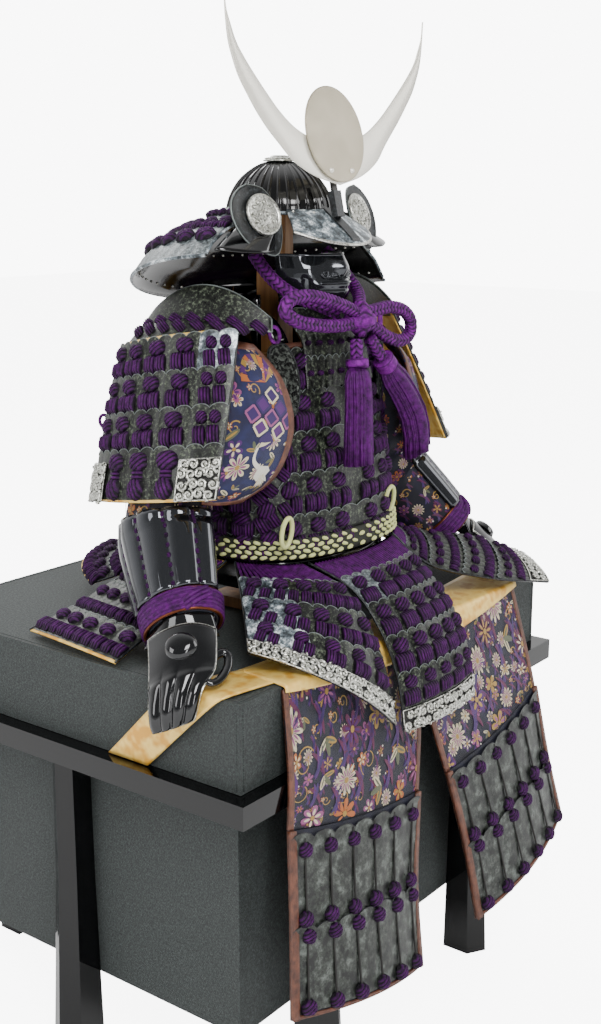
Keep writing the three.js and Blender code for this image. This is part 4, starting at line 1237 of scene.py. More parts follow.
def turnbacks():
    right, up, forward = EAR_AXES
    outline = catmull(np.array([(x, y, 0) for x, y in EAR + EAR[:1]], float), np.linspace(0, 1, 67))[:-1, :2]
    outline = outline - EAR_MIDDLE
    middle = EAR_ORIGIN + EAR_MIDDLE @ EAR_AXES[:2]
    rings = [(1.0, 0.0), (1.0, 1.0), (0.985, 1.7), (0.93, 1.6), (0.9, 1.1), (0.5, 0.9), (0.02, 0.9)]
    ear = stepped(middle, EAR_AXES, outline, rings)
    ear_faces = flip_faces(grid_faces(66, len(rings), 0, True) + [tuple(range(66))])
    rim = stepped(middle, EAR_AXES, outline, [(0.985, 1.2)])

    def on_ear(h, v):
        return EAR_ORIGIN + right * h + up * v - forward

    def on_guard(share):
        return guard_surface((77.0 - 79.0) / 202.0, (share - 0.02) / 0.98)

    strip = row_surface([[on_ear(11, 0), (-45, -62, 589), on_guard(0.16)],
                         [on_ear(8, -14), (-62, -73, 575), on_guard(0.5)],
                         [on_ear(4, -25), (-76, -79, 564), on_guard(0.93)]])
    medal_rings = [(14.6, 0.0), (14.6, 1.4), (14.0, 2.2), (13.0, 2.3), (12.3, 1.5), (11.5, 1.3), (6.0, 1.6),
                   (0.1, 1.8)]
    start = EAR_ORIGIN + forward * 1.9
    medal = stepped(start, EAR_AXES, circle(48), medal_rings)
    medal_faces = flip_faces(grid_faces(48, len(medal_rings), 0, True))
    for side, fix, turn in both_sides():
        piece = add_mesh(f"turnback_ear_{side}", fix(ear), turn(ear_faces), "ear")
        shell(f"turnback_strip_{side}", strip if side == "right" else mirrored(strip), 14, 16, 1.6,
              "lacquer")
        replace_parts(piece, f"turnback_{side}")
        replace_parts(add_mesh(f"medal_{side}", fix(medal), turn(medal_faces), "silver"), f"medallion_{side}")
        chance, spots = np.random.default_rng(4), []
        for r, count in ((3.2, 4), (8.6, 10)):
            for place in oval(start + forward * 1.5, right * r, up * r, count):
                turned = chance.uniform(0, 6.28)
                across = right * math.cos(turned) + up * math.sin(turned)
                spots.append((fix(place), fix(across), fix(forward), (0.72, 0.72, 0.55)))
        stamped(f"medal_work_{side}", element("curl", curl), "silver", spots, 0.05)
        add_mesh(f"turnback_rim_{side}", *tube(fix(rim), 0.55, 6, closed=True), "rim")


# ---- Crest ----
HORN_OUTER = [(0, -33.5), (28.5, -27), (49.5, -17), (61, -7), (72.4, 3), (82.7, 13), (91.5, 23), (99.6, 33),
              (105, 43), (109, 53), (111.5, 68), (112.5, 84)]
HORN_INNER = [(0, -4.5), (20, -3.5), (41, 3), (57.8, 13), (70.3, 23), (81.8, 33), (92.5, 43), (101.6, 53),
              (107, 63), (111, 72), (112.5, 84)]


CREST_LEAN = math.radians(12)
CREST_CENTRE = np.array([0, -87.7, 642.0])
CREST_AXES = np.array([(1.0, 0, 0), (0, math.sin(CREST_LEAN), math.cos(CREST_LEAN)),
                       (0, -math.cos(CREST_LEAN), math.sin(CREST_LEAN))])
BOX_FACES = [(2, 3, 1, 0), (5, 7, 6, 4), (1, 5, 4, 0), (6, 7, 3, 2), (4, 6, 2, 0), (3, 7, 5, 1)]


def crescent():
    """The two horns as one sheet: upright above their middle, and leaning with the tongue below it."""
    steps = 60
    outer, inner = smooth_outline(HORN_OUTER, steps), smooth_outline(HORN_INNER, steps)
    profile = [(0.0, 0.0), (0.0, 1.0), (0.015, 1.2), (0.5, 1.3), (0.985, 1.2), (1.0, 1.0), (1.0, 0.0)]
    left = np.array([np.column_stack([outer + (inner - outer) * share, np.full(steps, height)])
                     for share, height in profile])
    right = left[:, ::-1] * MIRROR
    x, up, proud = np.concatenate([right[:, :-1], left], 1).reshape(-1, 3).T
    count, total = len(profile), 2 * steps - 1
    below = (np.hypot(up, 8.0) - up) / 2
    y = CREST_CENTRE[1] + 0.3 - proud - math.tan(CREST_LEAN) * below
    faces = flip_faces(grid_faces(total, count))
    last = (count - 1) * total
    faces += [(i, i + 1, last + i + 1, last + i) for i in range(total - 1)]
    points = np.stack([x, y, CREST_CENTRE[2] + up], 1)
    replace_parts(add_mesh("crescent", points, faces, "crescent", body=CREST_BODY), "crest_crescent")


def slab(across, forward, up):
    """A box of the crest's tongue, from its ranges along the crest's directions."""
    return np.array([CREST_CENTRE + np.array([h, v, n]) @ CREST_AXES for h in across for n in forward
                     for v in up]), BOX_FACES


def crest():
    crescent()
    rings = [(0.1, 2.4), (31.6, 2.4), (32.9, 2.6), (32.9, 3.3), (32.5, 3.6), (32.0, 3.65), (20, 3.7),
             (0.1, 3.7)]
    disc = stepped(CREST_CENTRE, CREST_AXES, circle(96), rings)
    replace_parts(add_mesh("disc", disc, grid_faces(96, len(rings), 0, True), "champagne", body=CREST_BODY),
                "crest_disc")
    rivets = [(CREST_CENTRE + np.array([h, -25.0, 3.6]) @ CREST_AXES, CREST_AXES[0], CREST_AXES[2],
               (1.5, 1.5, 1.4))
              for h in (-12, 12)]
    stamped("disc_rivets", element("bud", BUD), "crescent", rivets, 0.0, body=CREST_BODY)
    tongue = merge([slab((-3, 3), (-6, -4.2), (-46, -18)), slab((-3, 3), (-5, -0.4), (-27, -19))])
    add_mesh("crest_tongue", *tongue, "bronze", smooth=False, body=CREST_BODY)
    dress("crest_socket", "ear", 0.4, 2)


# ---- Mask and throat guard ----
@gridded
def mask_surface(u, v):
    """A half mask from the nose to the chin: half width, reach forwards and features, by height."""
    angle = np.radians(78.0 - 156.0 * u)
    turned = np.abs(angle)
    at = [0, 0.3, 0.5, 0.75, 1]
    z = np.interp(v, at, [561, 552, 546, 536, 526])
    half = np.interp(v, at, [31, 33, 33, 31, 27])
    reach = np.interp(v, at, [34, 37, 39, 41, 37])
    nose = np.interp(v, at, [6, 8, 2, 3, 0]) * np.clip(1 - turned / math.radians(20), 0, 1) ** 1.3
    cheek = 2.2 * np.exp(-((turned - 0.75) / 0.28) ** 2 - ((v - 0.32) / 0.2) ** 2)
    lip = 2.6 * np.exp(-((v - 0.6) / 0.07) ** 2) * np.clip(1 - turned / 0.75, 0, 1)
    mouth = -2.4 * np.exp(-((v - 0.52) / 0.045) ** 2) * np.clip(1 - turned / 0.62, 0, 1)
    out = reach + nose + cheek + lip + mouth
    return np.stack([half * np.sin(angle) * (1 + cheek / 60), -56.0 - out * np.cos(angle), z], -1)


def mask():
    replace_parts(shell("mask", mask_surface, 90, 60, 1.6, "iron"), "face_mask")
    t = np.linspace(0, 1, 60)
    lip = tube(raised(mask_surface, 0.3 + 0.4 * t, 0.6, 1.4), 1.2, 8)
    add_mesh("mask_edges", *merge(edge_tubes(mask_surface, "T", 0.8, 1.3, 60, 8) + [lip]), "iron")
    # moulded whiskers: curls on the upper lip
    curls = []
    turn, reach = 2 * math.pi * 1.4 * t, 1 - 0.8 * t
    for hand in (-1, 1):
        for middle_u, middle_v, size in ((0.07, 0.46, 0.045), (0.15, 0.42, 0.035)):
            u = 0.5 + hand * (middle_u + size * reach * np.cos(turn))
            v = middle_v + 2.3 * size * reach * np.sin(turn)
            curls.append(tube(raised(mask_surface, u, v, 2.0), 0.9 - 0.4 * t, 6))
    add_mesh("mask_whiskers", *merge(curls), "iron")


@gridded
def throat_surface(u, v):
    angle = np.radians(64.0 - 128.0 * u)
    at = [0, 0.5, 1]
    z, half = np.interp(v, at, [524, 502, 471]), np.interp(v, at, [31, 38, 44])
    front, depth = np.interp(v, at, [-95, -98, -99.3]), np.interp(v, at, [52, 17, 6])
    return np.stack([half * np.sin(angle), front + depth * (1 - np.cos(angle)), z], -1)


def throat():
    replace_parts(shell("throat_shell", throat_surface, 40, 16, 1.4, "lacquer"), "throat_guard")
    edges = [0.0, 0.34, 0.67, 1.0]
    plates("throat", throat_surface, edges, 12, "plate", high=2.4, low=1.5)
    lacing("throat", throat_surface, edges, 8, ["knots", "knots", "knots"], 0.5, lift=1.9, grow=0.75)


# ---- Cuirass, belt and straps ----
# The trunk's height, half width, half depth and middle; and the neck's height by the angle from the front.
BODY_LEVELS = np.array([(352, 78, 59, -51.5), (400, 80, 61, -45), (459, 80, 58.5, -36.5),
                        (500, 66, 54, -34), (515, 60, 50, -32)], float)
NECKLINE = np.array([(0, 500), (38, 500), (55, 462), (66, 440), (116, 440), (128, 470), (142, 512),
                     (180, 512)], float)


WAIST_Z = 352
# The middle line of a shoulder strap, from the back to the front, as (y, z).
STRAP = [(-85, 474), (-83, 490), (-77, 507), (-62, 521), (-35, 527), (-8, 520), (6, 505), (12, 492),
         (15.5, 478)]
STRAP_X, STRAP_HALF = 46, 7


def soft(value):
    """Makes a sine or cosine's round a little squarer."""
    return np.sign(value) * np.abs(value) ** (2 / 2.6)


def body_point(degrees, z, margin=0.0):
    """A point round the trunk, margin outside it; 0 degrees is the front and 90 its right side."""
    angle = np.radians(degrees)
    half, depth, middle = [np.interp(z, BODY_LEVELS[:, 0], BODY_LEVELS[:, k]) for k in (1, 2, 3)]
    return np.stack([-(half + margin) * soft(np.sin(angle)), middle - (depth + margin) * soft(np.cos(angle)),
                     z + 0 * angle], -1)


@gridded
def body_surface(u, v):
    degrees = -180 + 360 * u
    top = np.interp(np.abs(degrees), NECKLINE[:, 0], NECKLINE[:, 1])
    return body_point(degrees, top + (WAIST_Z - top) * v)


@gridded
def collar_surface(u, v):
    """The padded collar that stands behind the neck."""
    return body_point(82 + 196 * u, 540 - 46 * v, -5.0 - 4.0 * (1 - v))


@gridded
def waist_surface(u, v):
    """The lining that closes the trunk under the belt."""
    return body_point(360 * u, 356 - 26 * v, -3.5)


@gridded
def neck_surface(u, v):
    """The collar ring round the open neck."""
    angle = np.radians(60 + 240 * u)
    return np.stack([46 * np.sin(angle), -36 - 40 * np.cos(angle), 534 - 48 * v], -1)


def cuirass():
    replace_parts(shell("cuirass_wall", body_surface, 150, 30, 2.6, "lacquer", closed=True), "cuirass")
    edges = [0.02, 0.21, 0.40, 0.59, 0.78, 0.97]
    plates("cuirass", body_surface, edges, 44, "plate", high=4.2, low=2.8)
    lacing("cuirass", body_surface, edges, 22, ["knot_bars"] * 5, lift=3.4, grow=0.95)
    trunk = body_point(np.linspace(0, 360, 24, endpoint=False), 520 + np.zeros(24)).mean(0)
    shell("collar_pad", outward(collar_surface, trunk), 60, 8, 3.2, "lacquer")
    shell("waist_lining", outward(waist_surface), 90, 4, 1.2, "lacquer", closed=True)
    shell("neck_collar", neck_surface, 48, 8, 2.4, "lacquer")
    t = np.linspace(0, 1, 240, endpoint=False)
    edge = body_surface(t, 0 * t) + normals(body_surface, t, 0 * t + 0.01) * 1.6
    add_mesh("cuirass_edge", *tube(edge, 2.3, 8, closed=True), "leather")
    for side in (-1, 1):
        across = [side * STRAP_X + offset for offset in (STRAP_HALF, 0, -STRAP_HALF)]
        strap = row_surface([[(x, y, z) for x in across] for y, z in STRAP])
        shell(f"strap_{side}", strap, 6, 50, 3.0, "lacquer", lift=-0.6)
        add_mesh(f"strap_edges_{side}", *merge(edge_tubes(strap, "LR", 1.0, 1.4, 60)), "silk")


@gridded
def belt_surface(u, v):
    return body_point(-180 + 360 * u, 369 - 14 * v, 4.3)


BEAD = pad(6.0, 3.1, 2.5, 1, groove=0.0, square=2.2, columns=9, rows=7)


def belt():
    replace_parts(shell("belt_core", belt_surface, 120, 5, 2.8, "olive", closed=True), "belt")
    rows, count = 4, 58
    beads = [spot(belt_surface, (k + 0.5 + 0.5 * (j % 2)) / count, (j + 0.5) / rows, 2.2, turn=16 if j % 2
                  else -16)
             for j in range(rows) for k in range(count)]
    stamped("belt_beads", element("bead", BEAD), "cream", beads, 0.05)
    for name, x, y in (("right", -77, -108), ("left", 50, -107)):
        loop = oval((x, y, 378), (0, 1.5, -10.5), (5.5, 0, 0), 25)
        add_mesh("belt_loop_" + name, *tube(loop, 1.7, 8, closed=True), "cream")


# ---- Panels: each row is a line across, as its left, middle and right point seen from outside ----
def waist(degrees):
    """A point where a panel hangs from the trunk's foot."""
    x, y = body_point(degrees, 352.0, 3.7)[:2]
    return (x, y, 350.0)


def waist_row(a, b):
    return [waist(a), waist((a + b) / 2), waist(b)]


SHOULDER_GUARD = [
    [(-90, -78, 516), (-115, -32, 510), (-103, 15, 500)],
    [(-106, -86, 483), (-128, -35, 476), (-113, 18, 465)],
    [(-123, -93, 448), (-141, -38, 441), (-122, 20, 429)],
    [(-140, -100, 411), (-152, -40, 403), (-130, 22, 392)],
]
TOP_PLATE = [
    [(-73, -92, 521), (-83, -46, 542), (-90, -4, 524)],
    [(-77, -96, 513), (-100, -45, 517), (-99, 1, 511)],
]
SHOULDER_PANEL = [
    [(-77, -80, 504), (-83, -68, 506), (-88, -50, 508)],
    [(-74, -102, 480), (-93, -92, 479), (-108, -71, 478)],
    [(-72.5, -109, 450), (-98, -101, 447), (-121, -78, 444)],
    [(-84, -103, 419), (-110, -97, 416), (-131, -80, 413)],
    [(-104, -90, 403), (-119, -86, 403), (-130, -78, 404)],
]
TASSET_FRONT = [
    [waist(-33), (0, -115.5, 350), waist(33)],
    [(43, -139, 334), (0, -146, 336), (-43, -139, 334)],
    [(44, -163, 310), (0, -171, 313), (-44, -163, 310)],
    [(45, -178, 280), (0, -186, 282), (-45, -178, 280)],
    [(46, -185, 243), (0, -191, 243), (-46, -185, 243)],
]
TASSET_FRONT_RIGHT = [
    waist_row(38, 82),
    [(-51, -141, 333), (-80, -127, 340), (-103, -88, 341)],
    [(-52, -168, 295), (-98, -159, 317), (-128, -113, 329)],
    [(-54, -182, 249), (-110, -178, 292), (-148, -132, 316)],
]
TASSET_FRONT_LEFT = [
    waist_row(-82, -38),
    [(104, -97, 341), (90, -115, 336), (66, -131, 328)],
    [(146, -126, 331), (128, -146, 323), (98, -162, 315)],
    [(186, -146, 312), (178, -167, 306), (160, -186, 301)],
]
TASSET_SIDE = [
    waist_row(87, 118),
    [(-112, -52, 334), (-114, -18, 335), (-106, 14, 334)],
    [(-150, -49, 314), (-152, -8, 318), (-142, 32, 315)],
    [(-188, -52, 303), (-186, -3, 306), (-176, 44, 303)],
]
TASSET_BACK = [
    waist_row(123, 174),
    [(-84, 12, 339), (-62, 33, 341), (-22, 38, 340)],
    [(-92, 38, 326), (-68, 66, 330), (-26, 76, 329)],
    [(-98, 62, 316), (-74, 97, 322), (-30, 116, 325)],
]
APRON = [
    [(-4, -159.3, 298), (-76, -159.3, 298), (-148.4, -159.3, 298)],
    [(-5, -171.2, 243), (-80, -171.4, 242), (-157, -171, 241)],
    [(-19, -180, 188), (-92, -181, 197), (-163, -175, 212)],
]
APRON_PLATES = [
    [(-19.1, -180.2, 187.5), (-92.1, -181.2, 196.5), (-163.1, -175.2, 211.5)],
    [(-34, -188.5, 125), (-104, -193, 136), (-172, -184, 150)],
    [(-40, -198, 65), (-112, -205, 80), (-183, -193, 94.5)],
]
WAISTBAND = [
    [(146, -120, 300.5), (0, -128, 300.5), (-146, -120, 300.5)],
    [(149, -157, 301), (0, -157, 301), (-149, -157, 301)],
    [(149, -162, 300), (0, -162, 300), (-149, -162, 300)],
    [(149, -163, 297), (0, -166, 283), (-149, -163, 297)],
]
TIE = [
    [(-140, -154, 300.5), (-140, -138, 300.5), (-140, -122, 300.5)],
    [(-187.5, -147, 301.3), (-187.5, -128, 301.3), (-187.5, -108, 301.3)],
    [(-190.8, -144, 299.5), (-190.8, -125, 299.5), (-190.8, -105, 299.5)],
    [(-190.5, -82, 240.8), (-190.5, -64, 240.8), (-190.5, -46, 240.8)],
]


def sides_of(rows):
    """The right surface that rows give, and its mirror image on the left."""
    surface = row_surface(rows)
    return (("right", surface), ("left", mirrored(surface)))


def area_of(surface, steps=40):
    """The area of a surface in square millimetres."""
    u, v = np.meshgrid(np.linspace(0, 1, steps), np.linspace(0, 1, steps))
    grid = surface(u, v)
    across, down = grid[:-1, 1:] - grid[:-1, :-1], grid[1:, :-1] - grid[:-1, :-1]
    return np.linalg.norm(np.cross(across, down), axis=-1).sum()


def cut(surface):
    """Flat width and length in metres of a cloth panel of this area."""
    width = extent(surface)[0]
    return (width / 1000.0, area_of(surface) / width / 1000.0)


def laced_panel(name, surface, edges, kinds, hem=None, lining="gold", top=None, pale=0.0, skip=(), twins=()):
    """A panel of laced plates: lining, plates, silk, hanging threads and silver hem.

    pale is the share of its width, at the right end of u, whose plates have the paler coat.
    """
    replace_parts(shell(name + "_lining", surface, 40, 30, 1.1, lining, size=extent(surface)), name)
    scales, columns = 10, 5
    if pale:
        plates(name + "_pale", part_of(surface, 1 - pale, 1.0, 0.0, 1.0), edges, round(scales * pale),
               "visor",
               high=2.6, low=1.3)
    plates(name, part_of(surface, 0.0, 1 - pale, 0.0, 1.0), edges, round(scales * (1 - pale)), high=2.6,
           low=1.3)
    lacing(name, surface, edges, columns, kinds, lift=2.0, skip=skip, twins=twins)
    if top:
        threads(name, surface, top)
    if hem:
        filigree(name + "_hem", surface, (0.0, 1.0), hem, lift=1.2, seed=len(name))
    add_mesh(name + "_side_edges", *merge(edge_tubes(surface, "LR", 1.5, 0.9, 50)), "ear")


def threads(name, surface, v_range, pitch=2.7):
    """Fine silk threads hanging side by side from the waist."""
    piece = part_of(surface, 0.01, 0.99, *v_range)
    count = round(extent(piece)[0] / pitch)
    lines = [tube(raised(piece, (k + 0.5) / count, np.linspace(0, 1, 9), 1.9), 1.15, 6)
             for k in range(count)]
    add_mesh(name + "_threads", *merge(lines), "silk")


def shoulder_guards():
    for side, surface in sides_of(SHOULDER_GUARD):
        name = "shoulder_guard_" + side
        edges = [0.02, 0.245, 0.475, 0.705, 0.985]
        # the front column, at the end of u that faces forwards, has twin knots and pale plates
        front, pale, back_u = (0, (0.0, 0.21), 1.0) if side == "right" else (4, (0.79, 1.0), 0.0)
        laced_panel(name, surface, edges, ["knot_bars"] * 3 + ["stack"], skip={(3, 0), (3, 4)},
                    twins={front})
        plates(name + "_pale", part_of(surface, *pale, 0.0, 1.0), edges[:2], 2, "visor", high=2.8, low=1.5)
        for index, corner in enumerate(((0.0, 0.22), (0.82, 1.0))):
            filigree(f"{name}_corner_{index}", surface, corner, (0.775, 1.0), lift=2.6, pitch=6.8,
                     seed=11 + index)
        loop = oval(surface(back_u, 0.5) + [0, 4.0, 0], (0, 4.5, 0), (0, 0, 4.5), 23)
        add_mesh(name + "_loop", *tube(loop, 1.2, 6, closed=True), "silk")


def top_plates():
    guards = dict(sides_of(SHOULDER_GUARD))
    for side, surface in sides_of(TOP_PLATE):
        name = "top_plate_" + side
        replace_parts(shell(name + "_sheet", surface, 40, 16, 2.0, "plate"), name)
        add_mesh(name + "_rim", *merge(edge_tubes(surface, "TBLR", 1.4, 0.7, 60)), "rim")
        ends = np.array([0.02, 0.5, 0.98])
        upper, lower = surface(ends, 0.8), guards[side](ends, 0.05)
        skirt = row_surface([upper, (upper + lower) / 2 + [0, 0, 1.5], lower])
        shell(name + "_skirt", skirt, 30, 8, 1.2, "plate")
        spots = [spot(skirt, (k + 0.5) / 7, 0.45, 1.4, (0.75, 1.0, 0.8), 50) for k in range(7)]
        spots += [spot(surface, (k + 0.5) / 7, 0.86, 1.6, (0.75, 0.9, 0.7), 62) for k in range(7)]
        stamped(name + "_lacing", element("bar", BAR), "silk", spots)


def panel_figures(w, h):
    """A crane, linked lozenges, a fan of petals and flowers, for a panel w wide and h long."""
    shapes = lattice(0.34 * w, 0.42 * h, 0.15 * w, 0.5) + crane(0.36 * w, 0.68 * h, 0.3 * w, 0.3, -1)
    root = np.array([0.3 * w, 0.24 * h])
    for k, a in enumerate(np.linspace(0.2, 2.6, 9)):
        tip = root + 0.34 * w * np.array([math.cos(a), -math.sin(a)])
        shapes.append((ribbon([root, tip], [0.5, 0.09 * w]), ("orange", "purple", "gold")[k % 3], 1))
    shapes += flower(0.68 * w, 0.64 * h, 0.13 * w, 8, "cream", "pink")
    shapes += flower(0.78 * w, 0.28 * h, 0.11 * w, 6, "pink", "purple")
    shapes += flower(0.52 * w, 0.86 * h, 0.09 * w, 5, "orange", "cream")
    shapes += leaf(0.8 * w, 0.48 * h, 0.1 * w, 0.6, "green", "gold")
    shapes += leaf(0.72 * w, 0.8 * h, 0.1 * w, 2.2, "cream", "green")
    return shapes + tendril(0.5 * w, 0.14 * h, 0.08 * w, 1.0, "gold")


def shoulder_panels():
    for side, surface in sides_of(SHOULDER_PANEL):
        name = "shoulder_panel_" + side
        size = extent(surface)
        base = shell(name + "_cloth", surface, 40, 50, 1.4, "blue_brocade", size=size)
        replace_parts(base, name)
        woven(name + "_ground_figures", surface, meadow(size, 77, 12.0, blades=False), size, 1.45)
        woven(name + "_figures", surface, panel_figures(*size), size, 1.85)
        made = binding(name, surface, 6.0, lift=-0.3, thickness=2.3)
        cut(surface)


def tassets():
    front = row_surface(TASSET_FRONT)
    laced_panel("tasset_front", front, [0.17, 0.36, 0.55, 0.74, 0.9], ["knot_block"] * 4, hem=(0.905, 1.0),
                top=(0.02, 0.18), lining="lacquer")
    plates("tasset_front_pale", part_of(front, 0.7, 1.0, 0.0, 1.0), [0.17, 0.36], 3, "pale", high=2.75,
           low=1.5)
    laced_panel("tasset_front_right", row_surface(TASSET_FRONT_RIGHT), [0.24, 0.46, 0.67, 0.86],
                ["knot_bars"] * 3,
                hem=(0.87, 1.0), top=(0.02, 0.26), pale=0.35, lining="lacquer")
    laced_panel("tasset_front_left", row_surface(TASSET_FRONT_LEFT), [0.14, 0.35, 0.55, 0.74, 0.9],
                ["knot_bars"] * 4, hem=(0.905, 1.0), top=(0.02, 0.15), lining="lacquer")
    for place, rows in (("side", TASSET_SIDE), ("back", TASSET_BACK)):
        for side, surface in sides_of(rows):
            laced_panel(f"tasset_{place}_{side}", surface, [0.17, 0.44, 0.71, 0.985], ["knot_bars"] * 3,
                        top=(0.02, 0.18))


# ---- Aprons and waistband ----
def aprons():
    for index, (side, surface) in enumerate(sides_of(APRON)):
        name = "apron_" + side
        size = extent(surface)
        base = shell(name + "_cloth", surface, 50, 40, 1.2, "brocade", size=size)
        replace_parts(base, name)
        woven(name + "_small_figures", surface, meadow(size, 61 + index, 12.5), size, 1.25)
        woven(name + "_figures", surface, meadow(size, 21 + index, 25.0), size, 1.6)
        made = binding(name, surface, 4.6, edges="LR", lift=-0.5, thickness=2.4)
        cut(surface)
    for side, surface in sides_of(APRON_PLATES):
        name = "apron_plates_" + side
        width, length = extent(surface)
        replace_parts(shell(name + "_backing", surface, 50, 40, 1.2, "brocade", size=(width, length)), name)
        plates(name, surface, [0.03, 0.5, 0.97], 7, "apron_plate", high=3.6, low=1.6, rim="ear", dip=0.35)
        # six cords run down the plates, with knots at the top, beside the middle seam and at the foot
        down = 0.04 + 0.92 * np.linspace(0, 1, 24)
        apart = 5.6 / length
        knots = ((0.1, 0), (0.5 - apart, 14), (0.5 + apart, -14), (0.94, 0))
        columns = [(k + 0.5) / 6 for k in range(6)]
        lines = [tube(raised(surface, u, down, 3.6), 0.8, 5) for u in columns]
        spots = [spot(surface, u + 0.08 * lean / width, v, 3.0, (0.84, 0.88, 0.95), lean)
                 for u in columns for v, lean in knots]
        add_mesh(name + "_cords", *merge(lines), "recess")
        stamped(name + "_puffs", element("puff", PUFF), "silk", spots)
        binding(name, surface, 4.6, edges="LR", lift=-0.6, thickness=4.4)
        binding(name, surface, 2.4, edges="B", lift=-0.6, thickness=3.2)


def waistband():
    band, tie = row_surface(WAISTBAND), row_surface(TIE)
    cloth = shell("waistband_cloth", band, 60, 24, 1.0, "gold", size=extent(band))
    end = shell("waistband_tie", tie, 12, 60, 1.0, "gold", size=extent(tie))
    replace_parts(cloth, "waistband")
    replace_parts(end, "waistband")
    cut(band)
    cut(tie)


# ---- Arms ----
# Sections of the right sleeve: share of the way down, x, y, z, and half sizes back and out.
SLEEVE = np.array([(0, -85, -40.5, 489, 21.5, 19), (0.22, -107, -41, 446, 28, 21.5),
                   (0.47, -122, -41, 398, 33, 24), (0.58, -131, -49, 377, 33, 24),
                   (0.8, -148, -71, 350, 28.5, 22), (1, -162, -89, 328, 24, 19)], float)
HAND = [
    [(-158, -116, 330), (-177, -103, 337), (-187, -78, 321)],
    [(-167, -125, 321), (-187, -110, 326), (-197, -89, 309)],
    [(-176, -132, 313), (-197, -116, 312), (-203, -95, 297)],
    [(-190, -133, 305), (-205, -119, 297), (-208, -100, 284)],
    [(-196, -131, 288), (-205, -118, 281), (-207, -102, 274)],
]


def sleeve_point(degrees, t, margin=0.0):
    """A point round the right arm's place at t from shoulder to wrist, margin outside the sleeve."""
    degrees, t = np.broadcast_arrays(np.asarray(degrees, float), np.asarray(t, float))

    def at(share):
        return np.stack([np.interp(share, SLEEVE[:, 0], SLEEVE[:, k]) for k in range(1, 6)], -1)

    section = at(t)
    axis = unit(at(t + 0.04)[..., :3] - at(t - 0.04)[..., :3])
    behind = np.array([0.25, 1.0, 0.0])
    back = unit(behind - axis * (axis @ behind)[..., None])
    out = np.cross(back, axis)
    angle = np.radians(degrees)[..., None]
    margin = np.asarray(margin)[..., None]
    return (section[..., :3] + back * (section[..., 3:4] + margin) * np.cos(angle)
            + out * (section[..., 4:5] + margin) * np.sin(angle))


@gridded
def sleeve_surface(u, v):
    return sleeve_point(-360.0 * u, v)


@gridded
def splint_surface(u, v):
    return sleeve_point(200.0 - 180.0 * u, 0.53 + 0.37 * v, 3.1)


@gridded
def tie_surface(u, v):
    return sleeve_point(-360.0 * u, 0.905 + 0.09 * v, 2.3)


def outward(surface, middle=None):
    """Turns a surface so that its normals point away from middle, or from its own middle."""
    u = np.linspace(0, 1, 24, endpoint=False)
    line = surface(u, 0.5)
    middle = line.mean(0) if middle is None else middle
    away = ((line - middle) * normals(surface, u, 0 * u + 0.5)).sum()
    return surface if away > 0 else gridded(lambda u, v: surface(1 - u, v))


def sleeve(side, surface):
    def folds(u, v):
        wave = np.sin(2 * math.pi * (9 * v + 0.6 * np.sin(2 * math.pi * u)))
        return 0.8 * wave * (0.4 + 0.6 * np.sin(math.pi * v) ** 2) + 0.4 * np.sin(23 * v + 9 * u)

    name = "sleeve_" + side
    size = extent(surface)
    base = shell(name + "_cloth", surface, 60, 76, 1.2, "brocade", closed=True, size=size, noise=folds)
    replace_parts(base, name)
    woven(name + "_figures", surface, meadow(size, 5, 10.5), size, 1.9)
    cut(surface)


def splints(side, surface):
    """Five domed iron splints, sewn together between."""
    count = 5

    def domes(u, _):
        return 3.4 * np.abs(np.sin(count * math.pi * u)) ** 0.5 - 0.5

    name = "splints_" + side
    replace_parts(shell(name + "_wall", surface, 110, 24, 1.2, "iron", noise=domes), name)
    stitches = [spot(surface, k / count, v, 0.8, (0.4, 0.28, 0.45), 90)
                for k in range(1, count) for v in np.linspace(0.06, 0.94, 9)]
    stamped(name + "_stitches", element("bar", BAR), "silk", stitches)


def wrist_tie(side, surface):
    """A cord wound round the wrist, crossed over at the front, between two copper rims."""
    def turns(u, v):
        return 1.5 * np.abs(np.sin(5 * math.pi * (v + 0.06 * np.sin(2 * math.pi * u)))) ** 0.6

    name = "wrist_tie_" + side
    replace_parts(shell(name + "_cords", surface, 90, 41, 2.4, "silk", closed=True, noise=turns), name)
    turn = np.linspace(-1, 1, 14)
    u, v = crossing(side, surface) + 0.055 * turn, 0.5 + 0.36 * turn
    middle = raised(surface, u, v, 4.6 - 2.4 * turn ** 2)
    beside = unit(np.cross(np.gradient(middle, axis=0), normals(surface, u, v)))
    strands = [tube(middle + beside * offset, 1.5, 6) for offset in (-2.6, 0.0, 2.6)]
    add_mesh(name + "_crossing", *merge(strands), "silk")
    around = np.linspace(0, 1, 60, endpoint=False)
    rims = [tube(raised(surface, around, v, 1.6), 1.3, 6, closed=True) for v in (0.0, 1.0)]
    add_mesh(name + "_rims", *merge(rims), "copper")


def hand_guard(side, surface):
    """A lacquered plate over the hand's back, with knuckles, a boss and a silver rim."""
    def knuckles(u, v):
        knuckles = 2.6 * np.abs(np.sin(4 * math.pi * u)) ** 0.6 * np.clip((v - 0.42) * 4, 0, 1)
        return knuckles + 0.7 * np.sin(16 * v) * (v > 0.5)

    name = "hand_guard_" + side
    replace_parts(shell(name + "_plate", surface, 64, 40, 2.0, "polished", noise=knuckles), name)
    stamped(name + "_boss", element("boss", BOSS), "polished", [spot(surface, 0.5, 0.24, 1.7)], 0.0)
    add_mesh(name + "_rim", *merge(edge_tubes(surface, "TLRB", 1.2, 0.9, 50)), "silver")


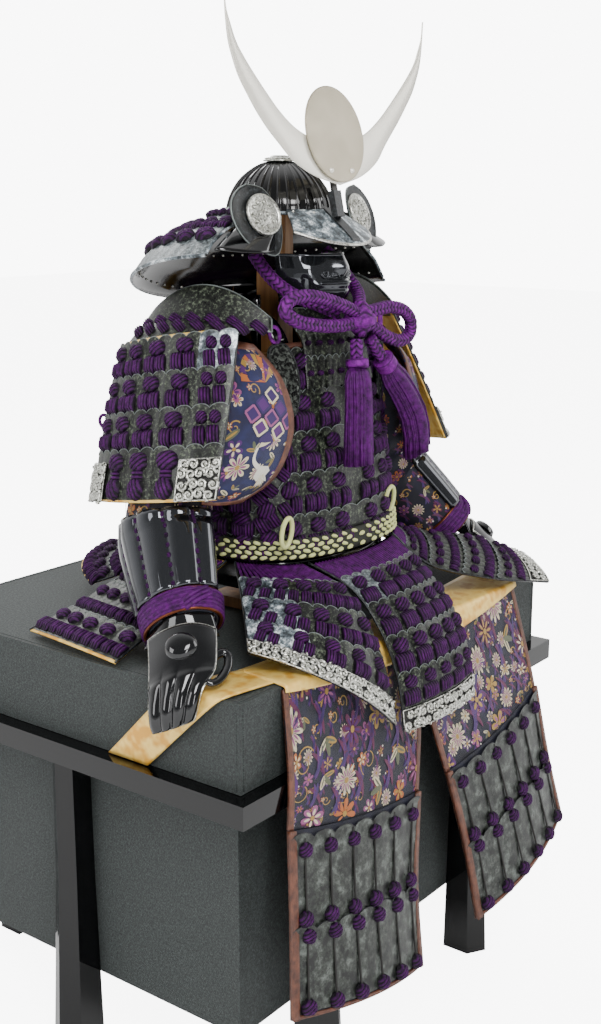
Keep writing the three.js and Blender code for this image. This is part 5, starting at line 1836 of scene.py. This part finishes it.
def thumb_guard(side, fix, turn):
    """An oval guard that stands on the hand guard's inner edge."""
    first, second, inside = row_surface(HAND)(np.array([0.02, 0.02, 0.4]), np.array([0.3, 0.64, 0.47]))
    root = (first + second) / 2
    reach = unit(root - inside)
    points, faces = tube(oval(root + reach * 1.5, reach * 6.5, (second - first) * 0.6, 32), 3.0, 10,
                         closed=True, depth=2.2)
    add_mesh("thumb_guard_" + side, fix(points), turn(faces), "polished")


def arms():
    top = sleeve_point(np.array([190.0, 110.0, 30.0]), 0.975, 0.8)
    bridge = row_surface([top, (top + HAND[0]) / 2, np.array(HAND[0]) - [0, 0, 3.0]])
    hand = part_of(row_surface(HAND), 0.07, 0.93, 0.0, 1.0)
    for side, fix, turn in both_sides():
        place = mirrored if side == "left" else (lambda surface: surface)
        cloth = outward(place(sleeve_surface))
        sleeve(side, cloth)
        splints(side, outward(place(splint_surface), cloth(np.linspace(0, 1, 24, endpoint=False),
                0.7).mean(0)))
        wrist_tie(side, outward(place(tie_surface)))
        shell("wrist_bridge_" + side, place(bridge), 24, 8, 1.4, "polished", lift=-0.6)
        hand_guard(side, place(hand))
        thumb_guard(side, fix, turn)


def crossing(side, tie):
    """Where round the wrist the cords cross: on the side that faces outwards and forwards."""
    u = np.linspace(0, 1, 48, endpoint=False)
    hand = -1.0 if side == "right" else 1.0
    return u[np.argmax(tie(u, 0.5) @ np.array([0.55 * hand, -0.8, 0.0]))]


LEAF = [(0, 2), (6, 0), (9.5, -8), (11, -20), (9, -34), (4.5, -46), (0, -51), (-4.5, -46), (-9, -34),
        (-11, -20), (-9.5, -8), (-6, 0)]


def leaf_plates():
    low, high = drawn_box("leaf_plate_right")
    up = unit(np.array([-0.2, 0.14, 1.0]))
    forward = np.array([-0.42, -0.9, 0.1])
    forward = unit(forward - up * (forward @ up))
    across = np.cross(up, forward)
    axes = np.array([across, up, forward])
    outline = catmull(np.array([(x, y + 25, 0) for x, y in LEAF + LEAF[:1]], float),
                      np.linspace(0, 1, 73))[:-1, :2]
    centre = (low + high) / 2
    rings = [(1.0, -1.2), (1.0, 0.6), (0.95, 1.3), (0.86, 1.0), (0.8, 0.7), (0.45, 1.5), (0.02, 1.9)]
    plate = stepped(centre, axes, outline, rings)
    faces = flip_faces(grid_faces(72, len(rings), 0, True) + [tuple(range(72))])
    curls = [(centre + np.array([hand * 3.6, y, 1.4]) @ axes, unit(across * hand + up * 0.4),
              (0.62 * hand, 0.62, 0.6))
             for y in np.linspace(-18, 16, 6) for hand in (-1, 1)]
    rim = stepped(centre, axes, outline, [(0.96, 1.3)])
    loop = oval(centre + up * 32.5 + forward * 0.8, up * -5.5, across * 3.6, 23)
    for side, fix, turn in both_sides():
        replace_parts(add_mesh("leaf_" + side, fix(plate), turn(faces), "dark_silver"), "leaf_plate_" + side)
        spots = [(fix(place), fix(along), fix(forward), size) for place, along, size in curls]
        stamped("leaf_work_" + side, element("curl", curl), "dark_silver", spots, 0.08)
        add_mesh("leaf_rim_" + side, *tube(fix(rim), 0.6, 6, closed=True), "ear")
        add_mesh("leaf_loop_" + side, *tube(fix(loop), 1.3, 6, closed=True), "cord_silk")


# ---- Cords ----
CORD = 9.5
BRAID_SIDES = 20
STRAND_RIGHT = [(-42, -52, 562), (-43, -61, 553), (-42, -72, 543), (-36, -85, 534), (-25, -96, 528),
                (-13, -103.5, 522)]
STRAND_LEFT = [(42, -52, 562), (43, -61, 554), (41, -73, 543), (34, -87, 533), (22, -97, 527),
               (11, -103.5, 521)]
LOOP_RIGHT = [(-3, -114, 521), (-18, -114, 527), (-38, -113, 533), (-60, -112, 537), (-76, -110, 535),
              (-81, -110, 529), (-72, -111, 522),
              (-50, -113, 517), (-26, -114, 515), (-4, -114, 516)]
LOOP_LEFT = [(0, -114, 521), (16, -115, 523), (34, -116, 524), (50, -117, 520), (59, -117, 512),
             (58, -117, 503), (46, -117, 499),
             (30, -116, 503), (14, -115, 511), (0, -114, 516)]
TAIL_RIGHT = [(-7, -115.5, 503), (-10, -117.5, 495), (-11, -119, 487), (-12, -120, 480), (-12, -121, 466),
              (-12, -121, 440), (-12, -121, 409)]
TAIL_LEFT = [(7, -117, 503.5), (16, -118, 493), (25, -119, 484), (33, -119, 476), (45, -121, 462),
             (58, -123, 440), (62, -123, 408)]


def braid(name, centres, radius=CORD / 2, pitch=3.9, lobes=4, groove=0.62):
    """A plaited cord: strands that zigzag round a tube; the material paints their threads, with painted shade
    between the strands and between the threads.
    """
    points, faces = tube(centres, 1.0, BRAID_SIDES)
    length = np.concatenate([[0], np.cumsum(np.linalg.norm(np.diff(centres, axis=0), axis=1))])
    middle = np.repeat(centres, BRAID_SIDES, 0)
    turn = np.tile(np.arange(BRAID_SIDES) / BRAID_SIDES, len(centres))
    zigzag = np.abs((turn * lobes) % 1.0 - 0.5) * 2
    phase = np.repeat(length, BRAID_SIDES) / pitch + 0.8 * zigzag
    strand = np.abs(np.sin(math.pi * phase))
    between = np.abs(zigzag - 0.5) > 0.42
    reach = radius - groove * (1 - strand ** 0.5) - 0.25 * between
    obj = add_mesh(name, middle + (points - middle) * reach[:, None], faces, "cord_silk")
    # Painted shade for the silk: groove darkens the cord between the strands, and strand places the darker
    # sides of each strand and thread.
    for title, values in (("groove", 0.4 * between), ("strand", phase + 0.5)):
        obj.data.attributes.new(title, "FLOAT", "POINT").data.foreach_set("value", values)
    return obj


def path_length(points):
    """The length of a line of points in millimetres."""
    return np.linalg.norm(np.diff(points, axis=0), axis=1).sum()


def tassel(side, tail):
    """The short end of a cord, its plain collar between two bands, and its skirt of threads."""
    steps, threads_count = 16, 170
    stub = braid("tail_" + side, catmull(tail, np.linspace(0, 0.26, 26)))
    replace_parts(stub, "cord_tail_" + side)
    swell = 7.2 + 0.9 * np.sin(math.pi * np.linspace(0, 1, 12)) ** 0.4
    collar = add_mesh("collar_" + side, *tube(catmull(tail, np.linspace(0.25, 0.385, 12)), swell, 28),
                      "cord_silk")
    rings = [tube(curve_points(catmull(tail, np.array([t - 0.004, t, t + 0.004])), 4), 8.3, 24)
             for t in (0.262, 0.372)]
    bands = add_mesh("collar_bands_" + side, *merge(rings), "silk")
    spread = catmull(tail, np.linspace(0.38, 1.0, steps))
    along = unit(spread[-1] - spread[0])
    across = unit(np.cross(along, (0, -1.0, 0)))
    forward = np.cross(across, along)
    chance = np.random.default_rng(31)
    down = np.linspace(0, 1, steps)
    grow = np.interp(down, [0, 0.25, 1], [0.56, 0.86, 1.0])
    parts = []
    for k in range(threads_count):
        # the golden angle spreads the threads evenly over the skirt's section
        angle, reach = 2 * math.pi * (k * 0.618034 % 1), math.sqrt((k + 0.5) / threads_count)
        sway = chance.uniform(-0.7, 0.7, (2,))
        place = across * (13.4 * reach * math.cos(angle)) + forward * (8.0 * reach * math.sin(angle))
        line = spread + place * grow[:, None] + (across * sway[0] + forward * sway[1]) * down[:, None] ** 2
        cut_at = steps - chance.integers(0, 2)
        parts.append(tube(line[:cut_at:2], 0.92, 4))
    skirt = add_mesh("skirt_" + side, *merge(parts), "silk")
    core = tube(spread[:15], 10.6 * grow[:15], 20, depth=6.4 * grow[:15])
    return [stub, collar, bands, skirt, add_mesh("skirt_core_" + side, *core, "silk")]


def bow_knot():
    """The knot under the chin, and the band wound round it."""
    centre = np.array([-1.0, -114.0, 518.0])
    share = np.linspace(-1, 1, 15)
    line = centre + UP * (12.5 * share)[:, None]
    radius = np.repeat(9.0 * np.sqrt(np.clip(1 - share ** 2, 0.12, 1)), BRAID_SIDES)
    knot = braid("knot", line, radius, 6.0, 3, 0.8)
    ring = oval(centre, (9.4, 0, 2.0 * math.sin(0.6)), (0, 7.6, 2.0 * math.cos(0.6)), 40)
    return knot, add_mesh("knot_band", *tube(ring, 3.6, 12, closed=True), "cord_silk")


def cords():
    knot, band = bow_knot()
    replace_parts(knot, "cord_bow")
    right_tail, left_tail = tassel("right", TAIL_RIGHT), tassel("left", TAIL_LEFT)
    plan = (("strand_right", STRAND_RIGHT, "cord_strand_right", "knot", [knot] + right_tail),
            ("strand_left", STRAND_LEFT, "cord_strand_left", "knot", [band] + left_tail),
            ("loop_right", LOOP_RIGHT, "cord_bow", "object", []),
            ("loop_left", LOOP_LEFT, "cord_bow", "object", []))
    for name, keys, node, end, pieces in plan:
        steps = int(path_length(catmull(keys, np.linspace(0, 1, 200))) / 0.85)
        line = curve_points(keys, steps)
        obj = braid(name, line)
        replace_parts(obj, node)
        row(line[0])
        row(line)
        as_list(pieces)


# ---- Everything ----
camera()
studio()
cords()
chest()
bowl()
neck_guard()
visor()
turnbacks()
crest()
mask()
throat()
cuirass()
belt()
leaf_plates()
shoulder_guards()
top_plates()
shoulder_panels()
tassets()
aprons()
waistband()
arms()
